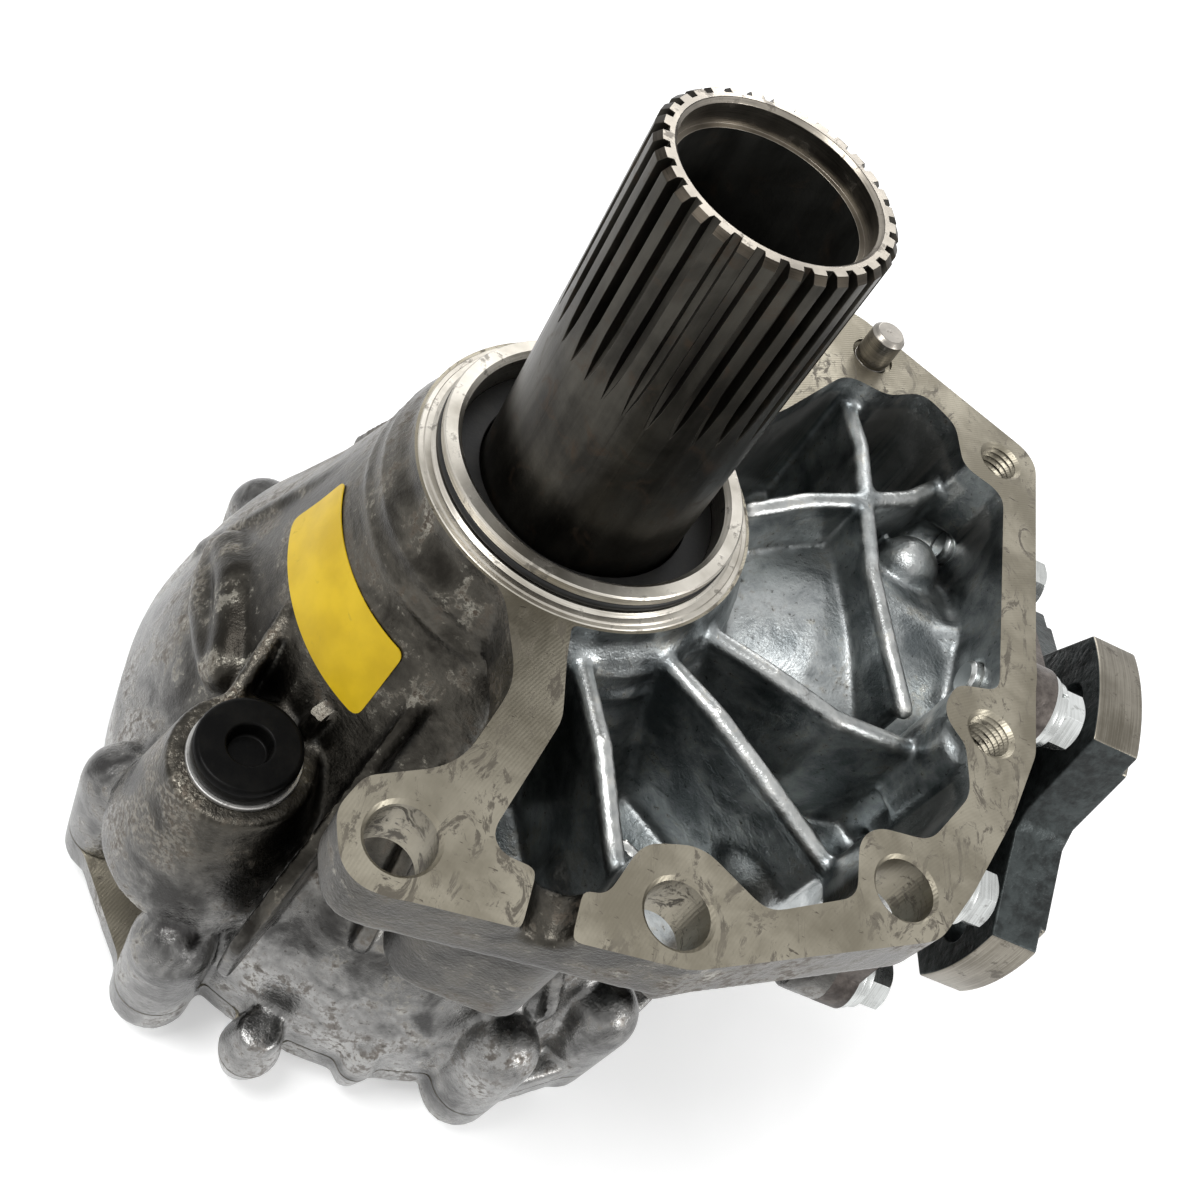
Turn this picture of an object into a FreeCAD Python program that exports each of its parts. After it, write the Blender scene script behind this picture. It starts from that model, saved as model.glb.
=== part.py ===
import FreeCAD, Part
import math
import os

os.makedirs("parts", exist_ok=True)
V = FreeCAD.Vector
X_DIR = V(1, 0, 0)
Y_DIR = V(0, 1, 0)
Z_DIR = V(0, 0, 1)

# Frame: +Z runs up the input shaft, +X runs out along the output shaft, and the origin is the
# point where the input axis meets the machined mounting face. All lengths are millimetres.

# Input shaft and its bearings
SHAFT_R = 25.0
SHAFT_BORE_R = 19.3
SHAFT_TIP_Z = 90.0
TIP_BORE_R = 20.5
TIP_BORE_DEPTH = 5.5
SHAFT_END_Z = -153.0
SPLINE_TEETH = 31
SPLINE_ROOT_R = 22.4
SPLINE_END_Z = 56.0
SPLINE_RUNOUT_Z = 43.0
SEAT_R = 25.5
SHOULDER_R = 30.0
IN_BEARING_R = 40.0
IN_BEARING_W = 20.0
UPPER_BEARING_Z = -39.0
LOWER_BEARING_Z = -119.0
FLANGE_TOP_Z = -106.0
FLANGE_T = 9.0
PILOT_R = 35.0
RING_BOLTS = 10
RING_BOLT_PCR = 45.0
RING_BOLT_R = 4.0
RING_BOLT_HEAD = 5.0

# Output line
OUT_Y = 19.0
OUT_Z = -65.5
OUT_FACE_X = 121.5
HEAD_SEAT_R = 17.5
HEAD_BEARING_R = 36.0
HEAD_BEARING_W = 20.0
HEAD_BEARING_X = 76.0
TAIL_SEAT_R = 15.0
TAIL_BEARING_R = 31.0
TAIL_BEARING_W = 17.0
TAIL_BEARING_X = 105.0
RETAINER_R = 40.0
RETAINER_T = 7.0
RETAINER_BOLTS = ((3.8, -12.2), (-31.9, -47.0), (-38.0, -95.0), (-10.0, -121.5), (42.0, -119.0),
                  (73.0, -78.0), (61.0, -27.0))
LOBE_R = 10.8
BOLT_M10_R = 5.0
FLAT_WASHER_T = 2.0
SPRING_WASHER_T = 2.5
NOSE_X = 138.5
NOSE_R = 37.5
SEAL_X = 128.0
PINION_SEAL_R = 33.0
HUB_R = 20.0
NUT_SEAT_X = 153.0
NUT_WASHER_T = 2.5
THREAD_R = 11.0
COMPANION_X = 145.0
COMPANION_T = 15.2
COMPANION_R = 59.2
COMPANION_WAIST_R = 38.5
COMPANION_NOTCH_RISE = 0.536
COMPANION_PCR = 47.0
COMPANION_HOLE_R = 5.25
COMPANION_TURN = 2.0
PILOT_BORE_R = 31.0

# Offset bevel gears: both tooth sets run to the point (0, OUT_Y, OUT_Z)
RING_TEETH = 31
PINION_TEETH = 13
PITCH_SLOPE = PINION_TEETH / RING_TEETH
MODULE_SLOPE = 2.0 / RING_TEETH
ADDENDUM = 0.80 * MODULE_SLOPE
DEDENDUM = 1.05 * MODULE_SLOPE
PRESSURE_ANGLE = math.radians(22.5)
BACKLASH = 0.020
FACE_X0 = 42.0
FACE_X1 = 67.0

# Mounting side of the case
SPIGOT_R = 36.3
SPIGOT_TOP_Z = 6.4
SPIGOT_BORE_R = 32.0
GROOVE_Z = 1.3
GROOVE_W = 2.6
GROOVE_R = 34.2
COLLAR_R = 37.5
LEDGE_R = 41.0
PLATE_T = 16.0
WALL_T = 5.5
POCKET_Z = -52.0
WALL_LEAN = 6.5
NECK_TOP_R = 47.0
NECK_SLOPE = 0.38
THROUGH_HOLES = ((-14.3, -101.4), (40.4, -94.9), (88.9, -69.7))
THROUGH_R = 7.0
THREADED_HOLES = ((109.3, 72.6), (108.5, -20.7))
THREADED_R = 5.4
THREADED_DEPTH = 26.0
DOWEL_X = 67.1
DOWEL_Y = 89.4
DOWEL_R = 5.0
DOWEL_TOP_Z = 9.5
DOWEL_NECK_R = 4.7
DOWEL_NECK_Z = 0.3
FILLER_X = -45.2
FILLER_Y = -64.0
FILLER_TOP_Z = -62.0
FILLER_R = 9.0
DRAIN_X = 14.0
DRAIN_Z = -116.0
DRAIN_Y = 90.0
DRAIN_R = 7.0
BREATHER_X = 96.0
BREATHER_Y = 73.0
BREATHER_R = 4.0

# Bell and end cover; the bell rim sits a little off the input axis. Each rim bolt has its own
# radius and angle about the rim's centre.
RIM_X = 3.0
RIM_Y = -6.0
RIM_R = 88.0
RIM_LOBE_R = 10.5
RIM_BOLTS = ((88.0, -146.0), (95.0, -119.0), (89.0, -64.0), (88.0, -44.0), (90.0, -4.0), (92.0, 48.0),
             (90.0, 96.0), (86.0, 146.0))
RIM_FLARE = ((97.0, -64.0), (97.5, -45.0), (95.0, -26.0))
COVER_EDGE = ((97.0, -146.0), (103.0, -119.0))
CASTING_NUBS = ((94.0, -101.0, 8.0), (87.0, -84.0, 5.5))
JOINT_Z = -136.0
GASKET_T = 0.6
COVER_T = 9.0
PAD_T = 3.0
COVER_SEAL_R = 33.5
COVER_BOTTOM_Z = -154.8
BELL_BORE_R = 79.0
M8_R = 4.0
FIT = 0.02
RUN_GAP = 0.3
CUP_INSET = 0.2
SHIM_T = 1.0
RETAINER_FRONT_X = OUT_FACE_X + RETAINER_T
COVER_TOP_Z = JOINT_Z - GASKET_T


def solid_of(points, place):
    wire = Part.makePolygon([place(a, b) for a, b in points] + [place(*points[0])])
    return Part.Face(wire)


def spin_z(points, x=0.0, y=0.0):
    face = solid_of(points, lambda r, z: V(x + r, y, z))
    return face.revolve(V(x, y, 0), Z_DIR, 360)


def spin_x(points, y=OUT_Y, z=OUT_Z):
    face = solid_of(points, lambda x, r: V(x, y + r, z))
    return face.revolve(V(0, y, z), X_DIR, 360)


def cyl_z(r, z0, z1, x=0.0, y=0.0):
    return Part.makeCylinder(r, z1 - z0, V(x, y, z0), Z_DIR)


def cyl_x(r, x0, x1, y=OUT_Y, z=OUT_Z):
    return Part.makeCylinder(r, x1 - x0, V(x0, y, z), X_DIR)


def ring_z(r0, r1, z0, z1):
    return cyl_z(r1, z0, z1).cut(cyl_z(r0, z0 - 1, z1 + 1))


def ring_x(r0, r1, x0, x1):
    return cyl_x(r1, x0, x1).cut(cyl_x(r0, x0 - 1, x1 + 1))


def polar(r, degrees, x=0.0, y=0.0):
    a = math.radians(degrees)
    return x + r * math.cos(a), y + r * math.sin(a)


def rim_point(spot):
    """A radius and an angle about the rim's centre as a place in the part's frame."""
    return polar(spot[0], spot[1], RIM_X, RIM_Y)


def rounded_wire(corners, place):
    """A closed outline of straight runs with an arc of the given radius at every corner."""
    points = [V(x, y, 0) for x, y, r in corners]
    count = len(points)
    starts = []
    mids = []
    ends = []
    for i in range(count):
        here = points[i]
        back = (points[i - 1] - here).normalize()
        ahead = (points[(i + 1) % count] - here).normalize()
        half = back.getAngle(ahead) / 2
        reach = corners[i][2] / math.tan(half)
        bisector = (back + ahead).normalize()
        centre = here + bisector * (corners[i][2] / math.sin(half))
        starts.append(here + back * reach)
        ends.append(here + ahead * reach)
        mids.append(centre - bisector * corners[i][2])
    edges = []
    for i in range(count):
        arc = [place(p.x, p.y) for p in (starts[i], mids[i], ends[i])]
        edges.append(Part.Arc(*arc).toShape())
        following = starts[(i + 1) % count]
        edges.append(Part.makeLine(place(ends[i].x, ends[i].y), place(following.x, following.y)))
    return Part.Wire(edges)


def prism_z(corners, z0, z1):
    face = Part.Face(rounded_wire(corners, lambda x, y: V(x, y, z0)))
    return face.extrude(V(0, 0, z1 - z0))


def hex_prism(flats, height, base, axis):
    radius = flats / math.sqrt(3)
    points = [V(*polar(radius, 60 * k + 30), 0) for k in range(7)]
    body = Part.Face(Part.makePolygon(points)).extrude(V(0, 0, height))
    body.Placement = FreeCAD.Placement(base, FreeCAD.Rotation(Z_DIR, axis))
    return body


def fuse_all(shapes):
    first = shapes[0]
    joined = first.multiFuse(shapes[1:]) if len(shapes) > 1 else first
    return joined.removeSplitter()


def turned(shape, degrees, centre=V(0, 0, 0), axis=Z_DIR):
    copy = shape.copy()
    copy.rotate(centre, axis, degrees)
    return copy


def save(name, shape):
    if shape.isNull() or not shape.isValid() or not shape.Solids:
        raise ValueError("bad solid " + name)
    shape.exportStep("parts/" + name + ".step")
    box = shape.BoundBox
    sizes = (box.XMin, box.XMax, box.YMin, box.YMax, box.ZMin, box.ZMax)
    print(name, len(shape.Solids), "solids", len(shape.Faces), "faces", " ".join("%.1f" % s for s in sizes))


# Input shaft -------------------------------------------------------------------------------

def spline_groove():
    """One tooth space: a straight trapezoid, then a wedge that climbs out of the shaft surface."""
    half_top = math.pi * SHAFT_R / SPLINE_TEETH * 0.56
    half_root = math.pi * SPLINE_ROOT_R / SPLINE_TEETH * 0.34

    def section(z, depth, top, root):
        outer = SHAFT_R + 0.8
        corners = ((outer, -top), (SHAFT_R - depth, -root), (SHAFT_R - depth, root), (outer, top))
        points = [V(r, t, z) for r, t in corners]
        return Part.makePolygon(points + [points[0]])

    depth = SHAFT_R - SPLINE_ROOT_R
    full = section(SPLINE_END_Z, depth, half_top, half_root)
    straight = Part.Face(full).extrude(V(0, 0, SHAFT_TIP_Z + 2 - SPLINE_END_Z))
    halfway = (SPLINE_END_Z + SPLINE_RUNOUT_Z) / 2
    middle = section(halfway, depth * 0.6, half_top * 0.78, half_root * 0.75)
    tail = section(SPLINE_RUNOUT_Z, -0.2, half_top * 0.22, 0.12)
    return straight.fuse(Part.makeLoft([full, middle, tail], True, True))


def input_shaft():
    flange_bottom = FLANGE_TOP_Z - FLANGE_T
    bore_end = SHAFT_TIP_Z - TIP_BORE_DEPTH
    profile = [(SHAFT_BORE_R, bore_end), (TIP_BORE_R, bore_end), (TIP_BORE_R, SHAFT_TIP_Z - 0.8),
               (TIP_BORE_R + 0.8, SHAFT_TIP_Z), (SHAFT_R - 1.3, SHAFT_TIP_Z), (SHAFT_R, SHAFT_TIP_Z - 1.3),
               (SHAFT_R, -15.5), (SEAT_R, -16.5), (SEAT_R, UPPER_BEARING_Z),
               (SHOULDER_R, UPPER_BEARING_Z), (SHOULDER_R, FLANGE_TOP_Z + 9), (PILOT_R, FLANGE_TOP_Z + 8),
               (PILOT_R, FLANGE_TOP_Z), (52.0, FLANGE_TOP_Z), (52.0, flange_bottom),
               (SHOULDER_R, flange_bottom), (SHOULDER_R, LOWER_BEARING_Z), (SEAT_R, LOWER_BEARING_Z),
               (SEAT_R, SHAFT_END_Z + 1.5), (SEAT_R - 1.5, SHAFT_END_Z), (SHAFT_BORE_R + 1.5, SHAFT_END_Z),
               (SHAFT_BORE_R, SHAFT_END_Z + 1.5)]
    body = spin_z(profile)
    groove = spline_groove()
    grooves = [turned(groove, 360.0 * k / SPLINE_TEETH) for k in range(SPLINE_TEETH)]
    hole = cyl_z(RING_BOLT_R + 0.3, flange_bottom - 1, FLANGE_TOP_Z + 1, RING_BOLT_PCR, 0)
    holes = [turned(hole, 360.0 * (k + 0.5) / RING_BOLTS) for k in range(RING_BOLTS)]
    return body.cut(Part.makeCompound(grooves)).cut(Part.makeCompound(holes))


# Offset bevel gears ------------------------------------------------------------------------

def ring_tooth():
    """One ring tooth: every edge runs to the apex, so it tapers towards the input axis."""
    quarter = math.pi / (2 * RING_TEETH) - BACKLASH / 2
    top = quarter - ADDENDUM * math.tan(PRESSURE_ANGLE)
    deep = DEDENDUM + 0.012
    bottom = quarter + deep * math.tan(PRESSURE_ANGLE)

    def section(x):
        rows = ((-bottom, -deep), (-top, ADDENDUM), (top, ADDENDUM), (bottom, -deep))
        points = [V(x, OUT_Y + x * s, OUT_Z + x * (h - PITCH_SLOPE)) for s, h in rows]
        return Part.makePolygon(points + [points[0]])

    return Part.makeLoft([section(FACE_X0), section(FACE_X1)], True, True)


def ring_gear():
    inner = math.hypot(FACE_X0, OUT_Y)
    outer = math.hypot(FACE_X1, OUT_Y)
    root = PITCH_SLOPE + DEDENDUM
    root_in = OUT_Z - root * FACE_X0
    root_out = OUT_Z - root * FACE_X1
    profile = [(PILOT_R + FIT, FLANGE_TOP_Z), (outer + 1.2, FLANGE_TOP_Z), (outer + 1.2, root_out - 1.0),
               (outer, root_out), (inner, root_in), (PILOT_R + FIT, root_in)]
    tooth = ring_tooth()
    teeth = [turned(tooth, 360.0 * k / RING_TEETH) for k in range(RING_TEETH)]
    hole = cyl_z(RING_BOLT_R, FLANGE_TOP_Z - 1, FLANGE_TOP_Z + 12, RING_BOLT_PCR, 0)
    holes = [turned(hole, 360.0 * (k + 0.5) / RING_BOLTS) for k in range(RING_BOLTS)]
    return spin_z(profile).multiFuse(teeth).cut(Part.makeCompound(holes))


def ring_gear_bolts():
    head_z = FLANGE_TOP_Z - FLANGE_T
    shank = cyl_z(RING_BOLT_R - FIT, head_z - 0.1, FLANGE_TOP_Z + 10, RING_BOLT_PCR, 0)
    head = hex_prism(12.0, RING_BOLT_HEAD, V(RING_BOLT_PCR, 0, head_z), V(0, 0, -1))
    bolt = shank.fuse(head)
    return Part.makeCompound([turned(bolt, 360.0 * (k + 0.5) / RING_BOLTS) for k in range(RING_BOLTS)])


def involute_half_angle(radius):
    """Half of the pinion tooth's angle at a radius given per unit of distance from the apex."""
    base = PITCH_SLOPE * math.cos(PRESSURE_ANGLE)
    local = math.acos(min(1.0, base / radius))
    start = math.pi / (2 * PINION_TEETH) - BACKLASH / (2 * PITCH_SLOPE)
    return start + (math.tan(PRESSURE_ANGLE) - PRESSURE_ANGLE) - (math.tan(local) - local)


def pinion_head():
    heights = (-DEDENDUM, -0.5 * DEDENDUM, 0.0, 0.5 * ADDENDUM, ADDENDUM)
    radii = [PITCH_SLOPE + h for h in heights]
    # A tooth space faces straight down, where the ring's tooth stands at rest.
    first = -90.0 + 180.0 / PINION_TEETH

    def section(x):
        points = []
        for k in range(PINION_TEETH):
            centre = math.radians(first + 360.0 * k / PINION_TEETH)
            rise = [(r, centre - involute_half_angle(r)) for r in radii]
            fall = [(r, centre + involute_half_angle(r)) for r in reversed(radii)]
            for r, a in rise + fall:
                points.append(V(x, OUT_Y + x * r * math.cos(a), OUT_Z + x * r * math.sin(a)))
        return Part.makePolygon(points + [points[0]])

    return Part.makeLoft([section(FACE_X0 - 1.0), section(FACE_X1 + 1.0)], True, True)


def pinion_shaft():
    end = FACE_X1 + 1.0
    start = FACE_X0 - 1.0
    head_end = HEAD_BEARING_X + HEAD_BEARING_W
    profile = [(start - 5, 0), (start - 5, 8.0), (start, 12.0), (start + 2, 12.0), (start + 2, 6.0),
               (end - 2, 6.0), (end - 2, 22.0), (HEAD_BEARING_X, 22.0), (HEAD_BEARING_X, HEAD_SEAT_R),
               (head_end + 3, HEAD_SEAT_R), (head_end + 4.5, TAIL_SEAT_R), (NUT_SEAT_X - 3, TAIL_SEAT_R),
               (NUT_SEAT_X - 1.5, THREAD_R), (NUT_SEAT_X + 18, THREAD_R), (NUT_SEAT_X + 19, THREAD_R - 1),
               (NUT_SEAT_X + 19, 0)]
    return spin_x(profile).fuse(pinion_head())


# Tapered roller bearings -------------------------------------------------------------------

def bearing_parts(bore, outer, width, rollers, roller_r):
    """Cone, cup, rollers and cage about +Z, with the small end of the rollers at the top."""
    mean = (bore + outer) / 2
    tilt = math.radians(12.5)
    apex = width / 2 + mean / math.tan(tilt)
    slant = mean / math.sin(tilt)
    spread = math.asin(roller_r / slant)
    inner_slope = math.tan(tilt - spread)
    outer_slope = math.tan(tilt + spread)

    def inner_r(z):
        return (apex - z) * inner_slope

    def outer_r(z):
        return (apex - z) * outer_slope

    length = width * 0.62
    z_big = (width - length) / 2 - 0.6
    z_small = z_big + length
    rib = roller_r * 0.75
    z_rib = z_big - roller_r * math.sin(tilt) - RUN_GAP
    cone = spin_z([(bore, 0.0), (inner_r(0) + rib, 0.0), (inner_r(z_big) + rib, z_rib),
                   (inner_r(z_rib) - RUN_GAP, z_rib), (inner_r(z_small) - RUN_GAP, z_small + 0.4),
                   (inner_r(z_small) + 0.8, z_small + 0.5), (inner_r(z_small) + 0.6, width), (bore, width)])
    cup = spin_z([(outer_r(2.0) + RUN_GAP, 2.0), (outer, 2.0), (outer, width - CUP_INSET),
                  (outer_r(width) + RUN_GAP, width - CUP_INSET)])
    direction = V(-math.sin(tilt), 0, math.cos(tilt))
    big = (apex - z_big) / math.cos(tilt)
    base = V(big * math.sin(tilt), 0, apex - big * math.cos(tilt))
    big_r = big * math.tan(spread) * 0.99
    small_r = (big - length) * math.tan(spread) * 0.99
    roller = Part.makeCone(big_r, small_r, length, base, direction)

    def middle_r(z):
        return (apex - z) * math.tan(tilt) + roller_r * 0.28

    low = z_big - 1.0
    high = z_small + 1.6
    shell = spin_z([(middle_r(low), low), (middle_r(low) + 1.0, low), (middle_r(high) + 1.0, high),
                    (middle_r(high), high)])
    window = Part.makeBox(4 * roller_r, 2 * roller_r + 0.9, length + 0.7)
    window.translate(V(-2 * roller_r, -roller_r - 0.45, -0.35))
    along_roller = FreeCAD.Placement(base, FreeCAD.Rotation(Z_DIR, direction))
    window.Placement = along_roller.multiply(window.Placement)
    step = 360.0 / rollers
    windows = [turned(window, step * k) for k in range(rollers)]
    bodies = [turned(roller, step * k) for k in range(rollers)]
    cage = shell.cut(Part.makeCompound(windows))
    return {"cone": cone, "cup": cup, "cage": cage, "rollers": Part.makeCompound(bodies)}


def place_bearing(parts, base, axis):
    placement = FreeCAD.Placement(base, FreeCAD.Rotation(Z_DIR, axis))
    placed = {}
    for name, shape in parts.items():
        copy = shape.copy()
        copy.Placement = placement
        placed[name] = copy
    return placed


# Main case ---------------------------------------------------------------------------------

OUTLINE = ((-22.0, -31.0, 3.0), (-10.0, -41.0, 14.0), (-2.6, -60.0, 18.0), (-8.5, -83.0, 16.0),
           (-24.5, -92.5, 5.0), (-27.4, -101.0, 6.0), (-22.0, -114.2, 9.0), (44.9, -105.2, 12.0),
           (97.6, -78.4, 10.0), (105.2, -64.0, 12.0), (114.5, -42.0, 20.0), (120.8, -21.0, 8.0),
           (120.8, 80.6, 9.0), (62.0, 103.4, 14.0), (44.0, 103.0, 12.0), (20.0, 52.0, 12.0), (0.0, 20.0, 6.0))

POCKET = ((0.3, -97.0, 4.5), (25.4, -97.6, 4.0), (30.4, -83.4, 8.0), (42.5, -79.0, 9.0),
          (58.5, -87.4, 6.0), (77.8, -76.2, 5.0), (76.6, -58.6, 8.0), (94.0, -56.0, 7.0),
          (103.6, -40.0, 9.0), (101.8, -27.0, 4.0), (94.8, -20.6, 7.0), (98.6, -10.8, 6.0),
          (110.5, -7.0, 4.0), (110.5, 60.0, 6.0), (97.6, 63.6, 6.0), (94.6, 78.0, 7.0),
          (84.0, 84.6, 6.0), (73.0, 76.6, 7.0), (60.0, 77.0, 8.0), (45.0, 53.5, 8.0),
          (22.0, 22.0, 4.0), (4.0, -28.0, 4.0), (6.2, -50.0, 8.0), (8.6, -64.0, 10.0))
LEANING_SIDES = ((POCKET[3], POCKET[4]), (POCKET[4], POCKET[5]))

RIBS = (((64, 84, -9), (71, 62, -7), (73.5, 42, -6), (78, 20, -7), (86, 0, -9), (93, -13, -12)),
        ((44, 24, -9), (58, 34, -7), (73.5, 42, -6), (88, 54, -9), (100, 70, -13)),
        ((36, -19, -8), (56, -24, -7), (74, -27, -9), (90, -24, -12), (100, -21, -15)),
        ((29, -31, -8), (44, -41, -7), (60, -52, -9), (79, -64, -13)),
        ((12, -43, -8), (20, -60, -7), (28, -78, -11), (34, -88, -15)))

BOSSES = ((110.0, 22.0, 10.0, -24.0), (33.0, -74.0, 11.0, -34.0), (74.0, -52.0, 15.0, -34.0),
          (97.0, 45.0, 9.0, -22.0))


# Straight webs down the bell: angle, then radius and height of the top edge at each end.
BELL_WEBS = ((173.0, 44.0, -18.0, 80.0, -95.0), (150.0, 42.0, -18.0, 80.0, -98.0),
             (130.0, 46.0, -14.0, 80.0, -85.0), (-56.0, 58.0, -50.0, 92.0, -104.0),
             (-92.0, 42.0, -18.0, 84.0, -88.0))


def wall_between(a, b, thickness, bottom):
    """A thin web from a to b; each end carries its own top height."""
    ax, ay, az = a
    bx, by, bz = b
    run = math.hypot(bx - ax, by - ay)
    nx = -(by - ay) / run * thickness / 2
    ny = (bx - ax) / run * thickness / 2

    def section(x, y, top):
        left = (x + nx, y + ny)
        right = (x - nx, y - ny)
        points = [V(*left, bottom), V(*right, bottom), V(*right, top), V(*left, top)]
        return Part.makePolygon(points + [points[0]])

    return Part.makeLoft([section(ax, ay, az), section(bx, by, bz)], True, True)


def pocket_ribs():
    pieces = []
    for path in RIBS:
        for a, b in zip(path, path[1:]):
            pieces.append(wall_between(a, b, 4.2, -66.0))
        for x, y, z in path[1:-1]:
            pieces.append(cyl_z(2.1, -66.0, z, x, y))
    return pieces


def retainer_outline(grow):
    """The lobed outline shared by the case's output face and the retainer's flange."""
    pieces = []
    count = len(RETAINER_BOLTS)
    for k in range(count):
        y0, z0 = RETAINER_BOLTS[k]
        y1, z1 = RETAINER_BOLTS[(k + 1) % count]
        run = math.hypot(y1 - y0, z1 - z0)
        ny = (z1 - z0) / run * (8.0 + grow)
        nz = -(y1 - y0) / run * (8.0 + grow)
        corners = [V(0, y0 + ny, z0 + nz), V(0, y1 + ny, z1 + nz), V(0, y1, z1), V(0, OUT_Y, OUT_Z)]
        corners.append(V(0, y0, z0))
        side = Part.Face(Part.makePolygon(corners + [corners[0]]))
        pieces.append(side)
    return pieces


def retainer_plate(x0, x1, grow=0.0):
    """The flange plate: a round core, one lobe per bolt and a straight tangent run between lobes."""
    span = x1 - x0
    solids = [cyl_x(46.0 + grow, x0, x1)]
    for y, z in RETAINER_BOLTS:
        solids.append(cyl_x(LOBE_R + grow, x0, x1, y, z))
    for face in retainer_outline(grow):
        slab = face.extrude(V(span, 0, 0))
        slab.translate(V(x0, 0, 0))
        solids.append(slab)
    return fuse_all(solids)


def fan(spots, z0, z1):
    """A flat slab that spreads from the rim's centre to a short row of outer corners."""
    corners = [V(RIM_X, RIM_Y, z0)]
    for spot in spots:
        corners.append(V(*rim_point(spot), z0))
    return Part.Face(Part.makePolygon(corners + [corners[0]])).extrude(V(0, 0, z1 - z0))


def rim_plate(z0, z1, grow=0.0):
    """The bell rim's outline: a disc, the bolt lobes and a flare between the two lowest lobes."""
    solids = [cyl_z(RIM_R + grow, z0, z1, RIM_X, RIM_Y), fan(RIM_FLARE, z0, z1)]
    for spot in RIM_BOLTS:
        solids.append(cyl_z(RIM_LOBE_R + grow, z0, z1, *rim_point(spot)))
    return fuse_all(solids)


def neck_r(z):
    """Outer radius of the conical neck between z = -22 and z = -48."""
    return NECK_TOP_R + (-22.0 - z) * NECK_SLOPE


def bell_outer():
    upper = spin_z([(0, 0), (LEDGE_R, 0), (LEDGE_R, -4), (NECK_TOP_R - 3.5, -8), (NECK_TOP_R, -22),
                    (neck_r(-48.0), -48), (61.5, -60), (66, -70), (71, -80), (76.5, -90), (80, -100),
                    (83, -110), (86, -122), (86, JOINT_Z), (0, JOINT_Z)])
    lower = spin_z([(0, -84), (60, -84), (74, -92), (81, -102), (85, -112), (RIM_R, -122),
                    (RIM_R, JOINT_Z), (0, JOINT_Z)], RIM_X, RIM_Y)
    return upper.fuse(lower)


def rim_columns():
    """The rim, with a domed column over each bolt and a web that runs from it up the bell."""
    pieces = [rim_plate(JOINT_Z, JOINT_Z + 8.0)]
    top = JOINT_Z + 24.0
    for spot in RIM_BOLTS:
        x, y = rim_point(spot)
        pieces.append(cyl_z(RIM_LOBE_R, JOINT_Z, top, x, y))
        pieces.append(Part.makeSphere(RIM_LOBE_R, V(x, y, top)))
        ix, iy = rim_point((spot[0] - 24.0, spot[1]))
        pieces.append(wall_between((ix, iy, JOINT_Z + 46.0), (x, y, top + 5.0), 10.0, JOINT_Z + 1.0))
    for radius, angle, size in CASTING_NUBS:
        x, y = rim_point((radius, angle))
        pieces.append(Part.makeCone(size, size * 0.7, 14.0, V(x, y, JOINT_Z), Z_DIR))
    return pieces


def barrel_outer():
    return spin_x([(16, 0), (16, 28), (30, 33), (72, 45.5), (OUT_FACE_X, 45.5), (OUT_FACE_X, 0)])


def leaning_wedge(side, out, bottom):
    """The sliver by which one straight side of the pocket leans inwards on its way down."""
    (ax, ay, _), (bx, by, _) = side
    run = math.hypot(bx - ax, by - ay)
    ux = (bx - ax) / run
    uy = (by - ay) / run

    def point(offset, z):
        return V(ax - 12 * ux + offset * uy, ay - 12 * uy - offset * ux, z)

    corners = [point(out, -PLATE_T), point(out + 3, -PLATE_T), point(out + 3, bottom)]
    corners.append(point(out - WALL_LEAN, bottom))
    face = Part.Face(Part.makePolygon(corners + [corners[0]]))
    return face.extrude(V(ux * (run + 24), uy * (run + 24), 0))


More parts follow.
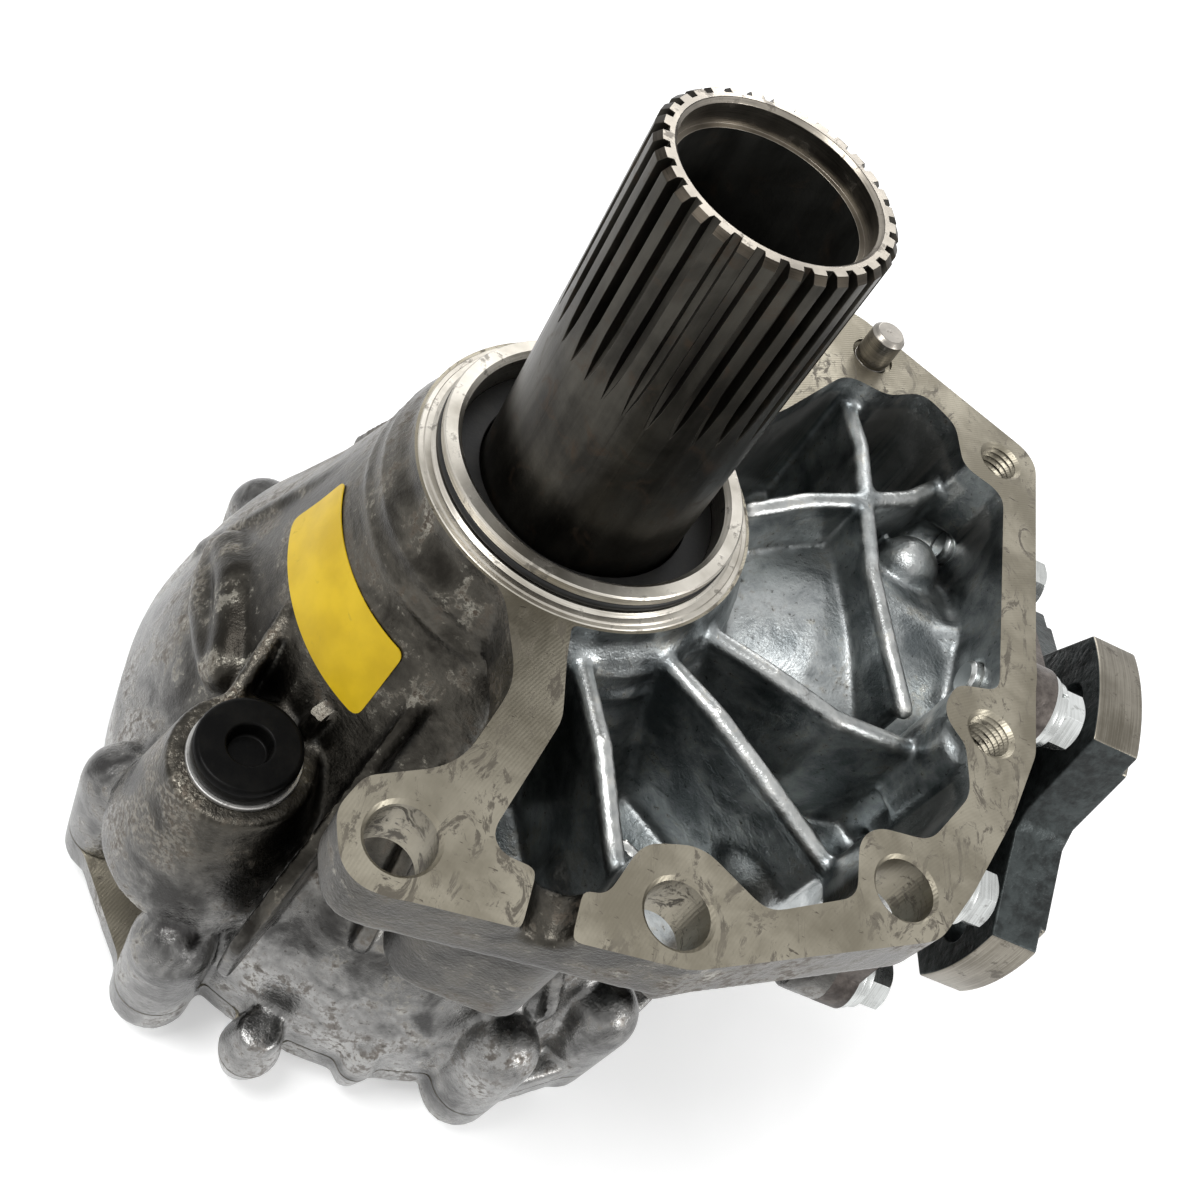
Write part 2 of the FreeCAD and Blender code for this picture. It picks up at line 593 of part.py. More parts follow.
def main_case():
    plate = prism_z(OUTLINE, -PLATE_T, 0).fuse(cyl_z(11.9, -PLATE_T, 0, *THROUGH_HOLES[0]))
    pocket_face = Part.Face(rounded_wire(POCKET, lambda x, y: V(x, y, POCKET_Z)))
    shell = pocket_face.makeOffset2D(WALL_T).extrude(V(0, 0, -PLATE_T + 2 - POCKET_Z))
    pocket = pocket_face.extrude(V(0, 0, 60))
    floor = pocket_face.makeOffset2D(WALL_T)
    floor.translate(V(0, 0, -WALL_T))
    floor = floor.extrude(V(0, 0, WALL_T + 0.5))
    for x, y in THROUGH_HOLES[1:]:
        shell = shell.cut(cyl_z(12.5, POCKET_Z - 1, -PLATE_T, x, y))
        floor = floor.cut(cyl_z(12.5, POCKET_Z - 9, -PLATE_T, x, y))
    for side in LEANING_SIDES:
        wedge = leaning_wedge(side, WALL_T, POCKET_Z - WALL_T)
        shell = shell.cut(wedge)
        floor = floor.cut(wedge)
    frame = fuse_all([plate, shell]).cut(pocket)
    groove_top = GROOVE_Z + GROOVE_W
    spigot = spin_z([(0, -4), (COLLAR_R, -4), (COLLAR_R, GROOVE_Z - 0.5), (SPIGOT_R, GROOVE_Z),
                     (GROOVE_R, GROOVE_Z), (GROOVE_R, groove_top), (SPIGOT_R, groove_top),
                     (SPIGOT_R, SPIGOT_TOP_Z - 0.4), (SPIGOT_R - 0.4, SPIGOT_TOP_Z), (0, SPIGOT_TOP_Z)])
    ribs = [r.common(pocket) for r in pocket_ribs()]
    ribs += [leaning_wedge(side, 0.0, POCKET_Z).common(pocket) for side in LEANING_SIDES]
    bosses = []
    for x, y, r, z in BOSSES:
        bosses.append(cyl_z(r, -60, z - r * 0.4, x, y).fuse(Part.makeSphere(r, V(x, y, z - r * 0.4))))
    bosses = [b.common(pocket_face.makeOffset2D(WALL_T - 0.5).extrude(V(0, 0, 60))) for b in bosses]
    thread_bosses = [cyl_z(12.0, -THREADED_DEPTH - 5, -3, x, y) for x, y in THREADED_HOLES]
    thread_bosses.append(cyl_z(12.0, -20, -3, DOWEL_X, DOWEL_Y))
    output = retainer_plate(OUT_FACE_X - 11.0, OUT_FACE_X)
    body = frame
    for piece in [floor, spigot, bell_outer(), barrel_outer(), output] + ribs + bosses + thread_bosses:
        body = body.fuse(piece)
    for piece in rim_columns() + outside_webs():
        body = body.fuse(piece)
    return body.cut(case_voids()).removeSplitter()


def outside_webs():
    """Webs and bosses on the outside: round the filler, down the bell and under the output barrel."""
    seat = FILLER_TOP_Z - 2
    long_web = wall_between((-13.5, -46.0, -30.0), (-30.5, -98.0, -84.0), 4.0, -100.0)
    boss = Part.makeCone(26.0, 17.0, 42.0, V(FILLER_X, FILLER_Y, FILLER_TOP_Z - 42.0), Z_DIR)
    web_in = wall_between((-26.0, -42.0, -40.0), (FILLER_X, FILLER_Y, seat), 4.0, -90.0)
    web_left = wall_between((-48.0, -22.0, -46.0), (FILLER_X - 9, FILLER_Y + 6, seat), 4.0, -90.0)
    web_down = wall_between((FILLER_X, FILLER_Y, seat), (-66.0, -70.0, -104.0), 5.0, -112.0)
    pieces = [long_web, boss, web_in, web_left, web_down]
    for angle, r0, z0, r1, z1 in BELL_WEBS:
        x0, y0 = polar(r0, angle)
        x1, y1 = polar(r1, angle)
        pieces.append(wall_between((x0, y0, z0), (x1, y1, z1), 4.5, z1 - 6.0))
    for z, r, bead in ((-12.0, 43.6, 1.7), (-19.0, 45.6, 1.5)):
        pieces.append(Part.makeTorus(r, bead, V(0, 0, z), Z_DIR))
    for y in (34.0, 4.0):
        pieces.append(Part.makeBox(50.0, 4.5, 34.0, V(70.0, y, -126.0)))
    drain = Part.makeCylinder(14.0, 22.0, V(DRAIN_X, DRAIN_Y - 22.0, DRAIN_Z), Y_DIR)
    breather = Part.makeCylinder(9.0, 20.0, V(BREATHER_X, BREATHER_Y - 20.0, OUT_Z), Y_DIR)
    return pieces + [drain, breather]


def case_voids():
    bell = spin_z([(0, -38), (42, -38), (47, -50), (55, -63), (60, -72), (66, -81), (72, -88),
                   (75.5, -97), (BELL_BORE_R, -110), (BELL_BORE_R, JOINT_Z - 1), (0, JOINT_Z - 1)])
    spigot_bore = cyl_z(SPIGOT_BORE_R, -12.0, SPIGOT_TOP_Z + 1)
    chamfer = Part.makeCone(SPIGOT_BORE_R, SPIGOT_BORE_R + 1.0, 1.0, V(0, 0, SPIGOT_TOP_Z - 0.99), Z_DIR)
    throat = cyl_z(30.0, -19.0, -11.0)
    bearing_top = UPPER_BEARING_Z + IN_BEARING_W + SHIM_T - CUP_INSET
    bearing = cyl_z(IN_BEARING_R + FIT, UPPER_BEARING_Z - 0.5, bearing_top)
    gear_space = spin_x([(20, 0), (20, 22), (30, 24), (70, 36), (76, 36), (76, 0)])
    barrel = cyl_x(RETAINER_R + FIT, 73.0, OUT_FACE_X + 1)
    lead_x = OUT_FACE_X - 1.5
    o_ring_lead = spin_x([(lead_x, 0), (lead_x, RETAINER_R), (OUT_FACE_X + 0.1, RETAINER_R + 1.6),
                          (OUT_FACE_X + 0.1, 0)])
    voids = [bell, spigot_bore, chamfer, throat, bearing, gear_space, barrel, o_ring_lead]
    for x, y in THROUGH_HOLES:
        voids.append(cyl_z(THROUGH_R, -PLATE_T - 1, 1, x, y))
        voids.append(Part.makeCone(THROUGH_R, THROUGH_R + 0.8, 0.8, V(x, y, -0.79), Z_DIR))
    for x, y in THREADED_HOLES:
        voids.append(cyl_z(THREADED_R, -THREADED_DEPTH, 1, x, y))
        voids.append(Part.makeCone(THREADED_R, THREADED_R + 0.9, 0.9, V(x, y, -0.89), Z_DIR))
    voids.append(cyl_z(DOWEL_R, -14.0, 1, DOWEL_X, DOWEL_Y))
    voids.append(cyl_z(DOWEL_R + 1.2, -1.0, 1, DOWEL_X, DOWEL_Y))
    voids.append(Part.makeCylinder(5.0, 24.0, V(16.0, -117.0, 0.8), Y_DIR))
    for y, z in RETAINER_BOLTS:
        voids.append(cyl_x(BOLT_M10_R - 0.1, OUT_FACE_X - 22.0, OUT_FACE_X + 1, y, z))
    for spot in RIM_BOLTS:
        voids.append(cyl_z(M8_R - 0.1, JOINT_Z - 1, JOINT_Z + 20.0, *rim_point(spot)))
    voids.append(cyl_z(FILLER_R, -104.0, 0, FILLER_X, FILLER_Y))
    voids.append(cyl_z(14.5, FILLER_TOP_Z, 0, FILLER_X, FILLER_Y))
    voids.append(Part.makeCylinder(13.0, 20.0, V(DRAIN_X, DRAIN_Y, DRAIN_Z), Y_DIR))
    voids.append(Part.makeCylinder(DRAIN_R, 40.0, V(DRAIN_X, DRAIN_Y - 30.0, DRAIN_Z), Y_DIR))
    voids.append(Part.makeCylinder(BREATHER_R, 34.0, V(BREATHER_X, BREATHER_Y - 18.0, OUT_Z), Y_DIR))
    return voids[0].multiFuse(voids[1:])


# Small pieces on the case ------------------------------------------------------------------

def spigot_o_ring():
    return Part.makeTorus(GROOVE_R + 1.2, 1.2, V(0, 0, GROOVE_Z + GROOVE_W / 2), Z_DIR)


def lip_seal(outer, shaft, width):
    """A pressed-steel-backed lip seal about +Z, its lip pointing down from z = 0 to -width."""
    profile = [(outer, 0.0), (outer, -width), (outer - 2.0, -width), (outer - 2.0, -2.0),
               (shaft + 3.4, -2.0), (shaft + 2.6, -width + 1.4), (shaft + 0.9, -width + 1.0),
               (shaft + 0.05, -width + 2.6), (shaft + 1.3, -1.8), (shaft + 0.4, -0.6), (shaft + 0.6, 0.0)]
    return spin_z(profile)


def dowel_pin():
    """A ground pin with a shallow neck where it leaves the case."""
    r = DOWEL_R - FIT
    profile = [(0, -13.5), (r, -13.5), (r, DOWEL_NECK_Z - 1.3), (DOWEL_NECK_R, DOWEL_NECK_Z - 1.3),
               (DOWEL_NECK_R, DOWEL_NECK_Z), (r, DOWEL_NECK_Z), (r, DOWEL_TOP_Z - 1.2),
               (DOWEL_R - 1.2, DOWEL_TOP_Z), (0, DOWEL_TOP_Z)]
    return spin_z(profile, DOWEL_X, DOWEL_Y)


def filler_plug():
    """A plug with a round hollow head, screwed down into the boss."""
    shank_r = FILLER_R - 0.05
    seat = FILLER_TOP_Z + 1.5
    profile = [(0, seat - 15.5), (shank_r, seat - 15.5), (shank_r, seat), (12.4, seat), (12.4, seat + 4.5),
               (11.6, seat + 5.5), (5.2, seat + 5.5), (4.7, seat + 1.0), (0, seat + 1.0)]
    return spin_z(profile, FILLER_X, FILLER_Y)


def filler_washer():
    ring = cyl_z(13.2, FILLER_TOP_Z, FILLER_TOP_Z + 1.5, FILLER_X, FILLER_Y)
    return ring.cut(cyl_z(FILLER_R, FILLER_TOP_Z - 1, FILLER_TOP_Z + 3, FILLER_X, FILLER_Y))


def drain_plug():
    shank = Part.makeCylinder(DRAIN_R - 0.05, 16.0, V(DRAIN_X, DRAIN_Y - 14.0, DRAIN_Z), Y_DIR)
    collar = Part.makeCylinder(11.5, 2.5, V(DRAIN_X, DRAIN_Y + 1.5, DRAIN_Z), Y_DIR)
    return fuse_all([shank, collar, hex_prism(17.0, 9.0, V(DRAIN_X, DRAIN_Y + 3.9, DRAIN_Z), Y_DIR)])


def drain_washer():
    disc = Part.makeCylinder(12.0, 1.5, V(DRAIN_X, DRAIN_Y, DRAIN_Z), Y_DIR)
    return disc.cut(Part.makeCylinder(DRAIN_R, 4.0, V(DRAIN_X, DRAIN_Y - 1, DRAIN_Z), Y_DIR))


def breather():
    stem = BREATHER_R - 0.05
    profile = [(0, -9), (stem, -9), (stem, 0), (7.0, 0), (7.0, 5.0), (4.2, 6.0), (4.2, 10.0),
               (7.6, 11.0), (7.6, 16.0), (6.0, 18.0), (0, 18.0)]
    body = spin_z(profile)
    body.Placement = FreeCAD.Placement(V(BREATHER_X, BREATHER_Y, OUT_Z), FreeCAD.Rotation(Z_DIR, Y_DIR))
    return body


def blank_label():
    """A plain curved sticker on the neck, from the 180 degree side round towards -Y."""
    top_r = neck_r(-24.0) + 0.05
    low_r = neck_r(-47.5) + 0.05
    strip = [(top_r, -24.0), (low_r, -47.5), (low_r + 0.4, -47.4), (top_r + 0.4, -23.9)]
    band = solid_of(strip, lambda r, z: V(r, 0, z)).revolve(V(0, 0, 0), Z_DIR, 50)
    return turned(band, 184)


# End cover ---------------------------------------------------------------------------------

def end_cover():
    """The plate that closes the bell: bearing boss inside, ribbed hub and bolt pads outside."""
    low = COVER_TOP_Z - COVER_T
    rim = rim_plate(low, COVER_TOP_Z).fuse(fan(COVER_EDGE, low, COVER_TOP_Z))
    dish = spin_z([(0, low), (0, COVER_BOTTOM_Z), (44, COVER_BOTTOM_Z), (49, COVER_BOTTOM_Z + 3),
                   (53, low), (53, COVER_TOP_Z - 2), (0, COVER_TOP_Z - 2)])
    boss = cyl_z(47.5, COVER_TOP_Z - 4, LOWER_BEARING_Z - 3)
    pieces = [rim, dish, boss]
    for spot in RIM_BOLTS:
        x0, y0 = polar(40.0, spot[1])
        x1, y1 = rim_point(spot)
        rib_z = COVER_TOP_Z - 2
        pieces.append(wall_between((x0, y0, rib_z), (x1, y1, rib_z), 5.0, low - 5.0))
        pieces.append(cyl_z(RIM_LOBE_R, low - PAD_T, rib_z, x1, y1))
    for radius, angle, size in CASTING_NUBS:
        x, y = rim_point((radius, angle))
        pieces.append(Part.makeCone(size * 0.7, size, COVER_T + 2.0, V(x, y, low - 2.0), Z_DIR))
    body = fuse_all(pieces)
    hollow = spin_z([(50.5, COVER_TOP_Z + 1), (76, COVER_TOP_Z + 1), (76, COVER_TOP_Z - 3),
                     (54, COVER_TOP_Z - 6), (50.5, COVER_TOP_Z - 6)])
    bearing = cyl_z(IN_BEARING_R + FIT, LOWER_BEARING_Z - IN_BEARING_W + CUP_INSET, LOWER_BEARING_Z)
    throat = cyl_z(COVER_SEAL_R - 2.5, COVER_BOTTOM_Z + 5, LOWER_BEARING_Z)
    seal = cyl_z(COVER_SEAL_R, COVER_BOTTOM_Z - 1, COVER_BOTTOM_Z + 10.0)
    voids = [hollow, bearing, throat, seal]
    for spot in RIM_BOLTS:
        x, y = rim_point(spot)
        voids.append(cyl_z(M8_R + 0.3, low - 5, COVER_TOP_Z + 1, x, y))
        voids.append(cyl_z(9.0, low - 20, low - PAD_T, x, y))
    return body.cut(Part.makeCompound(voids))


def cover_gasket():
    body = rim_plate(JOINT_Z - GASKET_T, JOINT_Z, -0.4)
    voids = [cyl_z(BELL_BORE_R + 0.5, JOINT_Z - 2, JOINT_Z + 1)]
    for spot in RIM_BOLTS:
        voids.append(cyl_z(M8_R + 0.6, JOINT_Z - 2, JOINT_Z + 1, *rim_point(spot)))
    return body.cut(Part.makeCompound(voids))


def flange_bolt(shank_r, shank, flats, base, axis, washer_r):
    """A flanged hex bolt: the head stands along axis from base, the shank runs the other way."""
    lathe = spin_z([(0, -shank), (shank_r - 0.8, -shank), (shank_r, -shank + 0.8), (shank_r, 0),
                    (washer_r, 0), (washer_r, 1.2), (flats * 0.52, 2.2), (0, 2.2)])
    lathe.Placement = FreeCAD.Placement(base, FreeCAD.Rotation(Z_DIR, axis))
    return lathe.fuse(hex_prism(flats, 6.8, base, axis))


def cover_bolts():
    seat = COVER_TOP_Z - COVER_T - PAD_T
    bolts = []
    for spot in RIM_BOLTS:
        x, y = rim_point(spot)
        bolts.append(flange_bolt(M8_R - 0.12, 30.0, 12.0, V(x, y, seat), V(0, 0, -1), 8.2))
    return Part.makeCompound(bolts)


# Output side -------------------------------------------------------------------------------

def pinion_retainer():
    """A lobed iron carrier: its barrel holds both pinion bearings and its nose holds the seal."""
    front = RETAINER_FRONT_X
    plate = retainer_plate(OUT_FACE_X, front)
    barrel = spin_x([(74.0, 0), (74.0, RETAINER_R - 1.0), (75.0, RETAINER_R), (112.0, RETAINER_R),
                     (112.0, RETAINER_R - 2.0), (115.4, RETAINER_R - 2.0), (115.4, RETAINER_R),
                     (OUT_FACE_X + 1, RETAINER_R), (OUT_FACE_X + 1, 0)])
    nose = spin_x([(front - 1, 0), (front - 1, NOSE_R + 4.5), (front + 2, NOSE_R + 2), (NOSE_X - 5.0, NOSE_R),
                   (NOSE_X - 1.0, NOSE_R), (NOSE_X, NOSE_R - 1), (NOSE_X, 0)])
    pieces = [plate, barrel, nose]
    for k in range(8):
        rib = Part.makeBox(3.0, 5.0, 9.0, V(front - 0.5, OUT_Y - 2.5, OUT_Z + NOSE_R))
        pieces.append(turned(rib, 45.0 * k + 12, V(0, OUT_Y, OUT_Z), X_DIR))
    body = fuse_all(pieces)
    head_seat = HEAD_BEARING_X + HEAD_BEARING_W - CUP_INSET
    voids = [cyl_x(HEAD_BEARING_R + FIT, 73.0, head_seat)]
    voids.append(cyl_x(27.0, head_seat - 1, SEAL_X))
    voids.append(cyl_x(TAIL_BEARING_R + FIT, TAIL_BEARING_X + CUP_INSET, SEAL_X))
    voids.append(cyl_x(PINION_SEAL_R, SEAL_X - 0.1, NOSE_X + 1))
    for y, z in RETAINER_BOLTS:
        voids.append(cyl_x(BOLT_M10_R + 0.4, OUT_FACE_X - 1, front + 4, y, z))
        voids.append(cyl_x(10.6, front, front + 14, y, z))
    return body.cut(Part.makeCompound(voids))


def retainer_o_ring():
    return Part.makeTorus(RETAINER_R - 1.0, 0.98, V(113.7, OUT_Y, OUT_Z), X_DIR)


def retainer_washers(x0, x1, outer, split):
    rings = []
    for y, z in RETAINER_BOLTS:
        ring = cyl_x(outer, x0, x1, y, z).cut(cyl_x(BOLT_M10_R + 0.25, x0 - 1, x1 + 1, y, z))
        if split:
            gap = Part.makeBox(x1 - x0 + 2, 1.2, 12.0, V(x0 - 1, y - 0.6, z))
            ring = ring.cut(gap)
        rings.append(ring)
    return Part.makeCompound(rings)


def retainer_bolts():
    seat = RETAINER_FRONT_X + FLAT_WASHER_T + SPRING_WASHER_T
    bolts = []
    for y, z in RETAINER_BOLTS:
        end = seat - 25.0
        shank = spin_x([(end, 0), (end, BOLT_M10_R - 1.1), (end + 1.0, BOLT_M10_R - 0.15),
                        (seat + 0.1, BOLT_M10_R - 0.15), (seat + 0.1, 0)], y, z)
        head = hex_prism(14.0, 6.4, V(seat, y, z), X_DIR)
        crown = spin_x([(seat - 1, 0), (seat - 1, 9.5), (seat + 5.6, 8.15), (seat + 6.4, 7.0),
                        (seat + 6.4, 0)], y, z)
        bolts.append(shank.fuse(head.common(crown)))
    return Part.makeCompound(bolts)


def companion_flange():
    """Four forged arms with a turned rim, a hub that runs back through the seal, and a nut pocket."""
    front = COMPANION_X + COMPANION_T
    axis_point = V(0, OUT_Y, OUT_Z)
    blank = cyl_x(COMPANION_R, COMPANION_X, front)
    notches = []
    half_mouth = 50.0
    mouth_r = COMPANION_WAIST_R + COMPANION_NOTCH_RISE * (half_mouth - 3.0)
    side = [(-3.0, COMPANION_WAIST_R), (3.0, COMPANION_WAIST_R), (half_mouth, mouth_r)]
    side.append((-half_mouth, mouth_r))
    face = solid_of(side, lambda y, z: V(COMPANION_X - 1, OUT_Y + y, OUT_Z + z))
    notch = face.extrude(V(COMPANION_T + 2, 0, 0))
    for k in range(4):
        notches.append(turned(notch, 45 + 90 * k + COMPANION_TURN, axis_point, X_DIR))
    blank = blank.cut(Part.makeCompound(notches))
    hub_x = TAIL_BEARING_X + TAIL_BEARING_W
    hub = spin_x([(hub_x, 0), (hub_x, HUB_R - 1.5), (hub_x + 2, HUB_R), (COMPANION_X - 2, HUB_R),
                  (COMPANION_X - 1, 27.0), (COMPANION_X + 1, 30.0), (COMPANION_X + 1, 0)])
    body = fuse_all([blank, hub])
    relief = spin_x([(NUT_SEAT_X, 0), (NUT_SEAT_X, 25.0), (front - 3.0, 27.0), (front - 3.0, PILOT_BORE_R),
                     (front + 1, PILOT_BORE_R), (front + 1, 0)])
    step = ring_x(54.0, COMPANION_R + 1, front - 1.6, front + 1)
    bore = cyl_x(TAIL_SEAT_R + FIT, hub_x - 1, front + 1)
    voids = [step]
    for k in range(4):
        hole = cyl_x(COMPANION_HOLE_R, COMPANION_X - 2, front + 2, OUT_Y, OUT_Z + COMPANION_PCR)
        voids.append(turned(hole, 90 * k + COMPANION_TURN, axis_point, X_DIR))
    return body.cut(relief.fuse(bore)).cut(Part.makeCompound(voids))


def dust_deflector():
    """A pressed sheet disc on the hub whose lip turns back over the retainer's nose."""
    x = NOSE_X + 1.0
    lip = NOSE_R + 1.2
    return spin_x([(x, HUB_R + FIT), (x, lip - 1.5), (x - 1.5, lip), (x - 5.0, lip), (x - 5.0, lip + 1.0),
                   (x - 1.0, lip + 1.0), (x + 1.0, lip - 1.0), (x + 1.0, HUB_R + 1.2), (x + 3.0, HUB_R + 1.2),
                   (x + 3.0, HUB_R + FIT)])


def flange_nut():
    seat = NUT_SEAT_X + NUT_WASHER_T
    nut = hex_prism(30.0, 11.0, V(seat, OUT_Y, OUT_Z), X_DIR)
    crown = spin_x([(seat - 1, 0), (seat - 1, 18.0), (seat + 9.6, 17.3), (seat + 11, 15.4), (seat + 11, 0)])
    collar = cyl_x(13.4, seat + 10.0, seat + 13.5)
    return nut.common(crown).fuse(collar).cut(cyl_x(THREAD_R + FIT, seat - 1, seat + 20))


def flange_washer():
    return ring_x(THREAD_R + 0.3, 23.0, NUT_SEAT_X, NUT_SEAT_X + NUT_WASHER_T)


def collapsible_spacer():
    start = HEAD_BEARING_X + HEAD_BEARING_W
    stop = TAIL_BEARING_X
    inner = HEAD_SEAT_R + 0.3
    outer = HEAD_SEAT_R + 2.6
    return spin_x([(start, inner), (start, outer), (start + 2.5, outer), (start + 4.5, outer + 2.6),
                   (start + 6.5, outer), (stop, outer), (stop, inner), (start + 5.6, inner),
                   (start + 4.5, outer - 0.4), (start + 3.4, inner)])


def along_x(shape, x):
    copy = shape.copy()
    copy.Placement = FreeCAD.Placement(V(x, OUT_Y, OUT_Z), FreeCAD.Rotation(Z_DIR, X_DIR))
    return copy


def build():
    save("main_case", main_case())
    save("end_cover", end_cover())
    save("cover_gasket", cover_gasket())
    save("cover_bolts", cover_bolts())
    save("spigot_o_ring", spigot_o_ring())
    save("dowel_pin", dowel_pin())
    save("filler_plug", filler_plug())
    save("filler_washer", filler_washer())
    save("drain_plug", drain_plug())
    save("drain_washer", drain_washer())
    save("breather", breather())
    save("blank_label", blank_label())
    input_seal = lip_seal(SPIGOT_BORE_R - FIT, SHAFT_R, 9.0)
    input_seal.translate(V(0, 0, -1.5))
    save("input_oil_seal", input_seal)
    cover_seal = turned(lip_seal(COVER_SEAL_R - FIT, SEAT_R, 8.0), 180, V(0, 0, 0), X_DIR)
    cover_seal.translate(V(0, 0, COVER_BOTTOM_Z + 0.8))
    save("cover_oil_seal", cover_seal)
    save("input_shaft", input_shaft())
    save("ring_gear", ring_gear())
    save("ring_gear_bolts", ring_gear_bolts())
    input_parts = bearing_parts(SEAT_R + FIT, IN_BEARING_R, IN_BEARING_W, 16, 3.1)
    upper = place_bearing(input_parts, V(0, 0, UPPER_BEARING_Z), Z_DIR)
    lower = place_bearing(input_parts, V(0, 0, LOWER_BEARING_Z), V(0, 0, -1))
    head_parts = bearing_parts(HEAD_SEAT_R + FIT, HEAD_BEARING_R, HEAD_BEARING_W, 12, 3.9)
    head = place_bearing(head_parts, V(HEAD_BEARING_X, OUT_Y, OUT_Z), X_DIR)
    tail_parts = bearing_parts(TAIL_SEAT_R + FIT, TAIL_BEARING_R, TAIL_BEARING_W, 12, 3.3)
    tail = place_bearing(tail_parts, V(TAIL_BEARING_X + TAIL_BEARING_W, OUT_Y, OUT_Z), V(-1, 0, 0))
    for label, parts in (("upper", upper), ("lower", lower), ("head", head), ("tail", tail)):
        for name, shape in parts.items():
            save(label + "_bearing_" + name, shape)
    cup_top = UPPER_BEARING_Z + IN_BEARING_W - CUP_INSET
    save("upper_shim", ring_z(33.0, IN_BEARING_R - RUN_GAP, cup_top, cup_top + SHIM_T))
    save("pinion_shaft", pinion_shaft())
    save("collapsible_spacer", collapsible_spacer())
    save("pinion_retainer", pinion_retainer())
    save("retainer_o_ring", retainer_o_ring())
    flat_top = RETAINER_FRONT_X + FLAT_WASHER_T
    save("retainer_flat_washers", retainer_washers(RETAINER_FRONT_X, flat_top, 10.0, False))
    save("retainer_spring_washers", retainer_washers(flat_top, flat_top + SPRING_WASHER_T, 9.0, True))
    save("retainer_bolts", retainer_bolts())
    save("pinion_oil_seal", along_x(lip_seal(PINION_SEAL_R - FIT, HUB_R, 8.0), SEAL_X + 8.6))
    save("companion_flange", companion_flange())
    save("dust_deflector", dust_deflector())
    save("flange_washer", flange_washer())
    save("flange_nut", flange_nut())


build()
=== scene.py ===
import math

import bmesh
import bpy
from mathutils import Matrix, Vector


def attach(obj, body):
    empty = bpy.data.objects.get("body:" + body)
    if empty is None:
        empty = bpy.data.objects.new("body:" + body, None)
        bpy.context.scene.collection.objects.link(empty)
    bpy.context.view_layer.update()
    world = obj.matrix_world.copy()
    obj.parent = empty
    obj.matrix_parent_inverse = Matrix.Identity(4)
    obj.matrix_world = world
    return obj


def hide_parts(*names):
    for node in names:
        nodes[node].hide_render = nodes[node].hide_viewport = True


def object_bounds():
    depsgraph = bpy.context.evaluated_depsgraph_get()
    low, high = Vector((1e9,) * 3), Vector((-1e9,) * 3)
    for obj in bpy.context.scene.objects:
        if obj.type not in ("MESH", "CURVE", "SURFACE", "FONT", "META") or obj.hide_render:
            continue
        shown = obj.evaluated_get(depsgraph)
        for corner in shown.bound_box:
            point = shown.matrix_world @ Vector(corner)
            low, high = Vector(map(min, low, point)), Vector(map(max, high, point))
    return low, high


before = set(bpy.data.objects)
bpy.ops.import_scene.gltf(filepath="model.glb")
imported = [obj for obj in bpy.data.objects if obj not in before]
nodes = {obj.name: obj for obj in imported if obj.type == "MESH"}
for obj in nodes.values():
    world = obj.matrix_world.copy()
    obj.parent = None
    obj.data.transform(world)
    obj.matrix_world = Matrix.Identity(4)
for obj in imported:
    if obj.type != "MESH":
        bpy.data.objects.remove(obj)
cad_box = [list(corner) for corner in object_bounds()]

# Main case casting.
# A die-cast aluminium housing: open ribbed mounting flange, conical neck, bell and output barrel.
# The raw casting is the case's own solid with soft casting radii, then faced, bored and drilled.
FLANGE_FACE = 0.0
JOINT_FACE = -0.136
OUTPUT_FACE = 0.1215
OUTPUT_AXIS = (0.019, -0.0655)
MACHINING_STOCK = 0.004
THROUGH_HOLES = ((-0.0143, -0.1014), (0.0404, -0.0949), (0.0889, -0.0697))
THROUGH_RADIUS = 0.007
TAPPED_HOLES = ((0.1093, 0.0726), (0.1085, -0.0207))
TAPPED_RADIUS = 0.0054
TAPPED_DEPTH = 0.026
THREAD_PITCH = 0.00175
DOWEL_PLACE = (0.0671, 0.0894)


class Field:
    """One value or colour inside a finish; sums and products on it add the Math nodes."""

    def __init__(self, finish, socket):
        self.finish = finish
        self.socket = socket

    def math(self, operation, first, second):
        return self.finish.node("ShaderNodeMath", {"operation": operation}, {0: first, 1: second})

    def __add__(self, other):
        return self.math("ADD", self, other)

    def __sub__(self, other):
        return self.math("SUBTRACT", self, other)

    def __rsub__(self, other):
        return self.math("SUBTRACT", other, self)

    def __mul__(self, other):
        return self.math("MULTIPLY", self, other)

    __radd__ = __add__
    __rmul__ = __mul__


